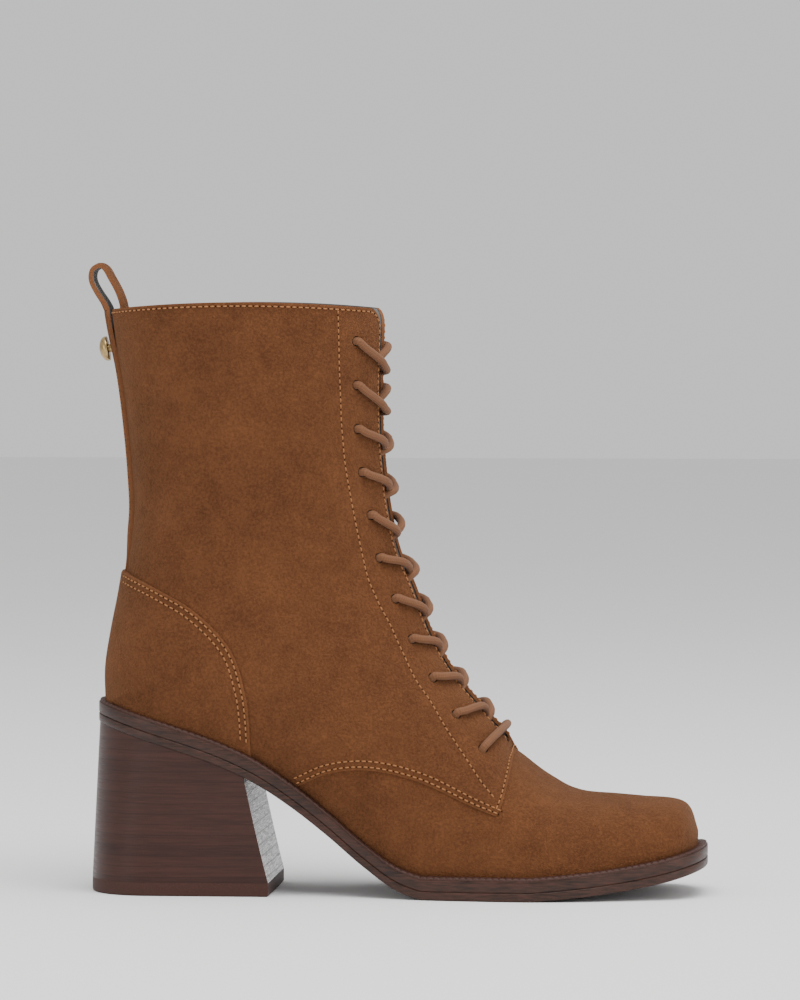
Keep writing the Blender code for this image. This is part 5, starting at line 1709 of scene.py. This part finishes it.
@once
def finish_suede():
    """Suede: nap brushed light and dark in drifts of centimetres, mottled in millimetres, with short
    fibres."""
    material, tree, surface, where = blank("suede")
    drift = span(tree, noise(tree, where, 30.0, 3.0, 0.6), 0.34, 0.66)
    blotch = span(tree, noise(tree, where, 150.0, 4.0, 0.65), 0.36, 0.64)
    fleck = span(tree, noise(tree, where, 980.0, 3.0, 0.80), 0.39, 0.61)
    fibre = noise(tree, stretched(tree, where, (1.0, 1.0, 0.45)), 2400.0, 2.0, 0.7)
    share = math_of(tree, "MULTIPLY_ADD", drift, 0.30, math_of(tree, "MULTIPLY", blotch, 0.22))
    share = math_of(tree, "ADD", share, math_of(tree, "MULTIPLY", fleck, 0.47))
    tone = blend(tree, share, colour("suede_dark"), colour("suede"))
    # Within LIGHT_EDGE_WIDTH of an edge the suede is blended a quarter of the way toward a lighter tone.
    lighter_edge = span(tree, field(tree, "edge"), 0.0, LIGHT_EDGE_WIDTH, 1.0, 0.0)
    rough = bump(tree, fleck, 0.00030, 0.9, bump(tree, blotch, 0.00040, 0.7))
    feed(tree, surface, {
        "Base Color": blend(tree, math_of(tree, "MULTIPLY", lighter_edge, 0.25), tone, LIGHT_EDGE_TONE),
        "Roughness": 0.95,
        "Specular IOR Level": 0.10,
        "Sheen Weight": 0.13,
        "Sheen Roughness": 0.40,
        "Sheen Tint": (0.95, 0.55, 0.30, 1.0),
        "Normal": bump(tree, fibre, 0.00018, 0.9, rough),
    })
    return material


@once
def finish_cut_edge():
    """Raw cut edge of the suede, a shade darker with fibres along it."""
    tones = (0.105, 0.042, 0.018), (0.24, 0.10, 0.045)
    return grained("cut_edge", (1800.0, 2.0, 0.7), *tones, 0.95, 0.1, (0.0002, 0.8))


@once
def finish_lining():
    """Grey textile lining with a fine plain weave."""
    material, tree, surface, where = blank("lining")
    grain = noise(tree, where, 900.0, 2.0, 0.6)
    drift = noise(tree, where, 45.0, 2.0, 0.5)
    share = math_of(tree, "MULTIPLY_ADD", grain, 0.6, math_of(tree, "MULTIPLY", drift, 0.4))
    feed(tree, surface, {
        "Base Color": blend(tree, share, colour("lining", 0.62), colour("lining")),
        "Roughness": 0.9,
        "Sheen Weight": 0.15,
        "Normal": bump(tree, grain, 0.00015, 0.6),
    })
    return material


@once
def finish_thread():
    """Waxed sewing thread with a faint twist."""
    tones = colour("thread", 0.62), colour("thread")
    return grained("thread", (3200.0, 2.0, 0.6), *tones, 0.75, 0.25, (0.0001, 0.5))


@once
def finish_hole_shade():
    """Painted shade of a needle hole: a dark disc, broken by a little fluff."""
    tones = (0.012, 0.005, 0.003), (0.04, 0.016, 0.008)
    return grained("needle_hole", (3000.0, 3.0, 0.55), *tones, 1.0, 0.0)


@once
def finish_lace():
    """Round woven lace: two sets of yarns crossing on a slant, from the distance along it and the turn
    round."""
    material, tree, surface, where = blank("lace")
    run = math_of(tree, "MULTIPLY", field(tree, "along"), 2 * math.pi / YARN_TURN)
    turn = math_of(tree, "ARCCOSINE", field(tree, "round"))
    one, other = (
        math_of(tree, "SINE", math_of(tree, "MULTIPLY_ADD", turn, yarns, run)) for yarns in (YARNS, -YARNS)
    )
    weave = math_of(tree, "MULTIPLY_ADD", math_of(tree, "MULTIPLY", one, other), 0.5, 0.5)
    fluff = noise(tree, where, 2400.0, 2.0, 0.7)
    share = math_of(tree, "MULTIPLY_ADD", weave, 0.45, math_of(tree, "MULTIPLY", fluff, 0.55))
    feed(tree, surface, {
        "Base Color": blend(tree, share, colour("lace", 0.55), colour("lace", 1.18)),
        "Roughness": 0.82,
        "Specular IOR Level": 0.12,
        "Sheen Weight": 0.06,
        "Normal": bump(tree, fluff, 0.0001, 0.6, bump(tree, weave, 0.00012, 0.7)),
    })
    return material


@once
def finish_sole():
    """Burnished leather sole edge: dark brown, faint layer lines and painted reflection streaks, a waxed
    gloss.
    """
    material, tree, surface, where = blank("sole_leather")
    lines = noise(tree, stretched(tree, where, (0.12, 0.12, 1.0)), 1500.0, 3.0, 0.6)
    drift = noise(tree, where, 60.0, 3.0, 0.5)
    share = math_of(tree, "MULTIPLY_ADD", lines, 0.7, math_of(tree, "MULTIPLY", drift, 0.3))
    share = span(tree, share, 0.38, 0.62)
    feed(tree, surface, {
        # The lighter streaks blended into the base colour are partly layer lines and partly painted
        # reflection streaks.
        "Base Color": blend(tree, share, colour("sole", 0.55), colour("sole_streak_and_reflection")),
        "Specular IOR Level": 0.28,
        "Roughness": span(tree, lines, 0.3, 0.7, 0.34, 0.55),
        "Normal": bump(tree, lines, 0.00012, 0.5),
    })
    return material


@once
def finish_welt():
    """Wheeled welt bead, reddish brown and half matt."""
    tones = colour("welt", 0.6), colour("welt", 1.3)
    return grained("welt_leather", (1400.0, 3.0, 0.6), *tones, 0.5, 0.2, (0.00012, 0.5))


def layered(name):
    """Layers of leather a few millimetres thick, each with its own tone, dark lines between them and fine
    grain along them; gives the material, its tree and surface, the grain and the distance to the next
    line."""
    material, tree, surface, where = blank(name)
    wavy = noise(tree, stretched(tree, where, (1.0, 1.0, 0.2)), 22.0, 2.0, 0.5)
    height = put(tree, "ShaderNodeSeparateXYZ", {"Vector": where}).outputs["Z"]
    level = math_of(tree, "MULTIPLY_ADD", wavy, STACK_WAVE, height)
    layer = math_of(tree, "MULTIPLY", level, 1 / STACK_LAYER)
    cell = put(tree, "ShaderNodeTexWhiteNoise", {"W": math_of(tree, "FLOOR", layer)}, noise_dimensions="1D")
    fine = noise(tree, stretched(tree, where, (0.05, 0.05, 1.0)), 2200.0, 3.0, 0.65)
    medium = noise(tree, stretched(tree, where, (0.06, 0.06, 1.0)), 620.0, 2.0, 0.6)
    share = math_of(tree, "MULTIPLY", fine, 0.55)
    share = math_of(tree, "MULTIPLY_ADD", cell.outputs["Value"], 0.16, share)
    share = math_of(tree, "ADD", share, math_of(tree, "MULTIPLY", medium, 0.42))
    tone = blend(tree, span(tree, share, 0.28, 0.85), colour("stack_dark"), colour("stack_light"))
    seam = math_of(tree, "PINGPONG", layer, 0.5)
    line = span(tree, seam, 0.0, 0.07, 0.55, 0.0)
    feed(tree, surface, {
        "Base Color": blend(tree, line, tone, colour("stack_dark")),
        "Roughness": span(tree, fine, 0.3, 0.7, 0.34, 0.52),
        "Normal": bump(tree, seam, 0.0002, 0.4, bump(tree, fine, 0.00010, 0.5)),
    })
    return material, tree, surface, fine, seam


@once
def finish_stack():
    """Stacked heel round its outside, with a waxed gloss."""
    material, tree, surface, *_ = layered("stacked_leather")
    feed(tree, surface, {"Specular IOR Level": 0.22, "Coat Weight": 0.10, "Coat Roughness": 0.25})
    return material


@once
def finish_breast():
    """Breast of the stacked heel: the same layers, polished, the gloss broken by grain and by the lines."""
    material, tree, surface, fine, seam = layered("polished_stack")
    clear = span(tree, fine, 0.38, 0.60, 0.15, 0.9)
    gloss = math_of(tree, "MULTIPLY", clear, span(tree, seam, 0.0, 0.07, 0.1, 0.95))
    feed(tree, surface, {"Specular IOR Level": 0.4, "Coat Weight": gloss, "Coat Roughness": 0.15})
    return material


@once
def finish_top_lift():
    """Rubber top piece, reddish brown and matt, with fine pits."""
    tones = (0.030, 0.011, 0.0080), (0.062, 0.0235, 0.0165)
    return grained("top_lift_rubber", (1600.0, 3.0, 0.6), *tones, 0.6, 0.25, (0.0001, 0.5))


@once
def finish_brass():
    """Antique brass, darker in drifts where it has dulled."""
    material, tree, surface, where = blank("antique_brass")
    dull = noise(tree, where, 420.0, 3.0, 0.6)
    feed(tree, surface, {
        "Base Color": blend(tree, span(tree, dull, 0.35, 0.7), colour("brass", 0.55), colour("brass")),
        "Metallic": 1.0,
        "Roughness": span(tree, dull, 0.3, 0.7, 0.38, 0.24),
        "Normal": bump(tree, noise(tree, where, 1500.0), 0.00003, 0.3),
    })
    return material


@once
def finish_floor():
    """Pale floor."""
    return grained("pale_floor", (3.0, 3.0, 0.55), (0.86, 0.86, 0.86), (0.88, 0.88, 0.88), 0.9, 0.1)


def area_light(name, place, aim, size, power):
    """Square soft light at a place, turned toward a point."""
    lamp = bpy.data.lights.new(name, "AREA")
    lamp.size = size
    lamp.energy = power
    item = bpy.data.objects.new(name, lamp)
    back = np.array(place, float) - np.array(aim, float)
    flat = math.hypot(back[0], back[1])
    item.location = place
    item.rotation_euler = (math.atan2(flat, back[2]), 0.0, math.atan2(back[0], -back[1]))
    bpy.context.scene.collection.objects.link(item)


def build_stage():
    """Floor, white surroundings, lights and the camera at the photograph's angle."""
    stage = bpy.context.scene.boot_stage
    mesh = bpy.data.meshes.new("studio_floor")
    reach = 6.0
    mesh.from_pydata(
        [(-reach, -reach, 0), (reach, -reach, 0), (reach, reach, 0), (-reach, reach, 0)], [], [(0, 1, 2, 3)]
    )
    mesh.materials.append(finish_floor())
    floor = bpy.data.objects.new("studio_floor", mesh)
    bpy.context.scene.collection.objects.link(floor)
    world = bpy.context.scene.world or bpy.data.worlds.new("studio")
    bpy.context.scene.world = world
    world.use_nodes = True
    sky = world.node_tree.nodes["Background"]
    sky.inputs["Color"].default_value = (1.0, 1.0, 1.0, 1.0)
    sky.inputs["Strength"].default_value = stage.sky
    middle = (0.0, 0.0, 0.12)
    area_light("key_light", (0.25, -0.45, 1.7), middle, 1.4, stage.key)
    area_light("fill_light", (1.5, -1.0, 0.7), middle, 1.4, stage.fill)
    area_light("strip_light", (-1.05, -0.95, 0.42), middle, 0.5, stage.strip)
    lens = bpy.data.cameras.new("camera")
    lens.lens = stage.lens
    lens.sensor_width = 36.0
    lens.clip_start, lens.clip_end = 0.05, 50.0
    camera = bpy.data.objects.new("camera", lens)
    camera.location = (
        stage.offset + stage.distance * math.sin(stage.azimuth), -stage.distance * math.cos(stage.azimuth),
        stage.height,
    )
    camera.rotation_euler = (math.pi / 2 - stage.pitch, 0.0, stage.azimuth)
    bpy.context.scene.collection.objects.link(camera)
    bpy.context.scene.camera = camera


class BOOT_OT_upper(bpy.types.Operator):
    """Make the suede vamp, quarters and counter and the lining inside them"""

    bl_idname = "boot.upper"
    bl_label = "Upper"

    def execute(self, context):
        build_vamp()
        build_quarter(LATERAL, "suede_quarter_lateral")
        build_quarter(MEDIAL, "suede_quarter_medial")
        build_counter()
        build_lining()
        return {"FINISHED"}


class BOOT_OT_back_strip(bpy.types.Operator):
    """Make the strip over the back seam, its pull loop and its stud"""

    bl_idname = "boot.back_strip"
    bl_label = "Back strip and stud"

    def execute(self, context):
        build_back_strip()
        build_stud()
        return {"FINISHED"}


class BOOT_OT_tongue(bpy.types.Operator):
    """Make the tongue behind the lacing"""

    bl_idname = "boot.tongue"
    bl_label = "Tongue"

    def execute(self, context):
        build_tongue()
        return {"FINISHED"}


class BOOT_OT_sole(bpy.types.Operator):
    """Make the outsole, midsole, insole and welt"""

    bl_idname = "boot.sole"
    bl_label = "Sole and welt"

    def execute(self, context):
        build_sole()
        build_welt()
        return {"FINISHED"}


class BOOT_OT_heel(bpy.types.Operator):
    """Make the stacked heel and its top piece"""

    bl_idname = "boot.heel"
    bl_label = "Heel"

    def execute(self, context):
        build_heel()
        return {"FINISHED"}


class BOOT_OT_lace(bpy.types.Operator):
    """Run the lace through the eyelets"""

    bl_idname = "boot.lace"
    bl_label = "Lace"

    def execute(self, context):
        build_lace()
        return {"FINISHED"}


class BOOT_OT_stitching(bpy.types.Operator):
    """Sew the rows of the upper"""

    bl_idname = "boot.stitching"
    bl_label = "Stitching"

    def execute(self, context):
        build_stitching()
        return {"FINISHED"}


class BOOT_OT_stage(bpy.types.Operator):
    """Set the floor, lights and camera"""

    bl_idname = "boot.stage"
    bl_label = "Stage"

    def execute(self, context):
        build_stage()
        return {"FINISHED"}


OPERATORS = (
    BOOT_OT_upper, BOOT_OT_back_strip, BOOT_OT_tongue, BOOT_OT_sole, BOOT_OT_heel, BOOT_OT_lace,
    BOOT_OT_stitching, BOOT_OT_stage,
)


class BOOT_PT_sidebar(bpy.types.Panel):
    """Sizes, colours and pieces of the boot"""

    bl_label = "Boot"
    bl_idname = "BOOT_PT_sidebar"
    bl_space_type = "VIEW_3D"
    bl_region_type = "UI"
    bl_category = "Boot"

    def draw(self, context):
        for group in (context.scene.boot_sizes, context.scene.boot_colours, context.scene.boot_stage):
            box = self.layout.box()
            for name in group.__annotations__:
                box.prop(group, name)
        for operator in OPERATORS:
            self.layout.operator(operator.bl_idname)


CLASSES = (BootSizes, BootColours, BootStage, *OPERATORS, BOOT_PT_sidebar)


def register():
    for item in CLASSES:
        bpy.utils.register_class(item)
    bpy.types.Scene.boot_sizes = bpy.props.PointerProperty(type=BootSizes)
    bpy.types.Scene.boot_colours = bpy.props.PointerProperty(type=BootColours)
    bpy.types.Scene.boot_stage = bpy.props.PointerProperty(type=BootStage)


def unregister():
    del bpy.types.Scene.boot_sizes
    del bpy.types.Scene.boot_colours
    del bpy.types.Scene.boot_stage
    for item in reversed(CLASSES):
        bpy.utils.unregister_class(item)


def main():
    register()
    bpy.ops.boot.stage()
    bpy.ops.boot.upper()
    bpy.ops.boot.back_strip()
    bpy.ops.boot.tongue()
    bpy.ops.boot.sole()
    bpy.ops.boot.heel()
    bpy.ops.boot.lace()
    bpy.ops.boot.stitching()


if __name__ == "__main__":
    main()
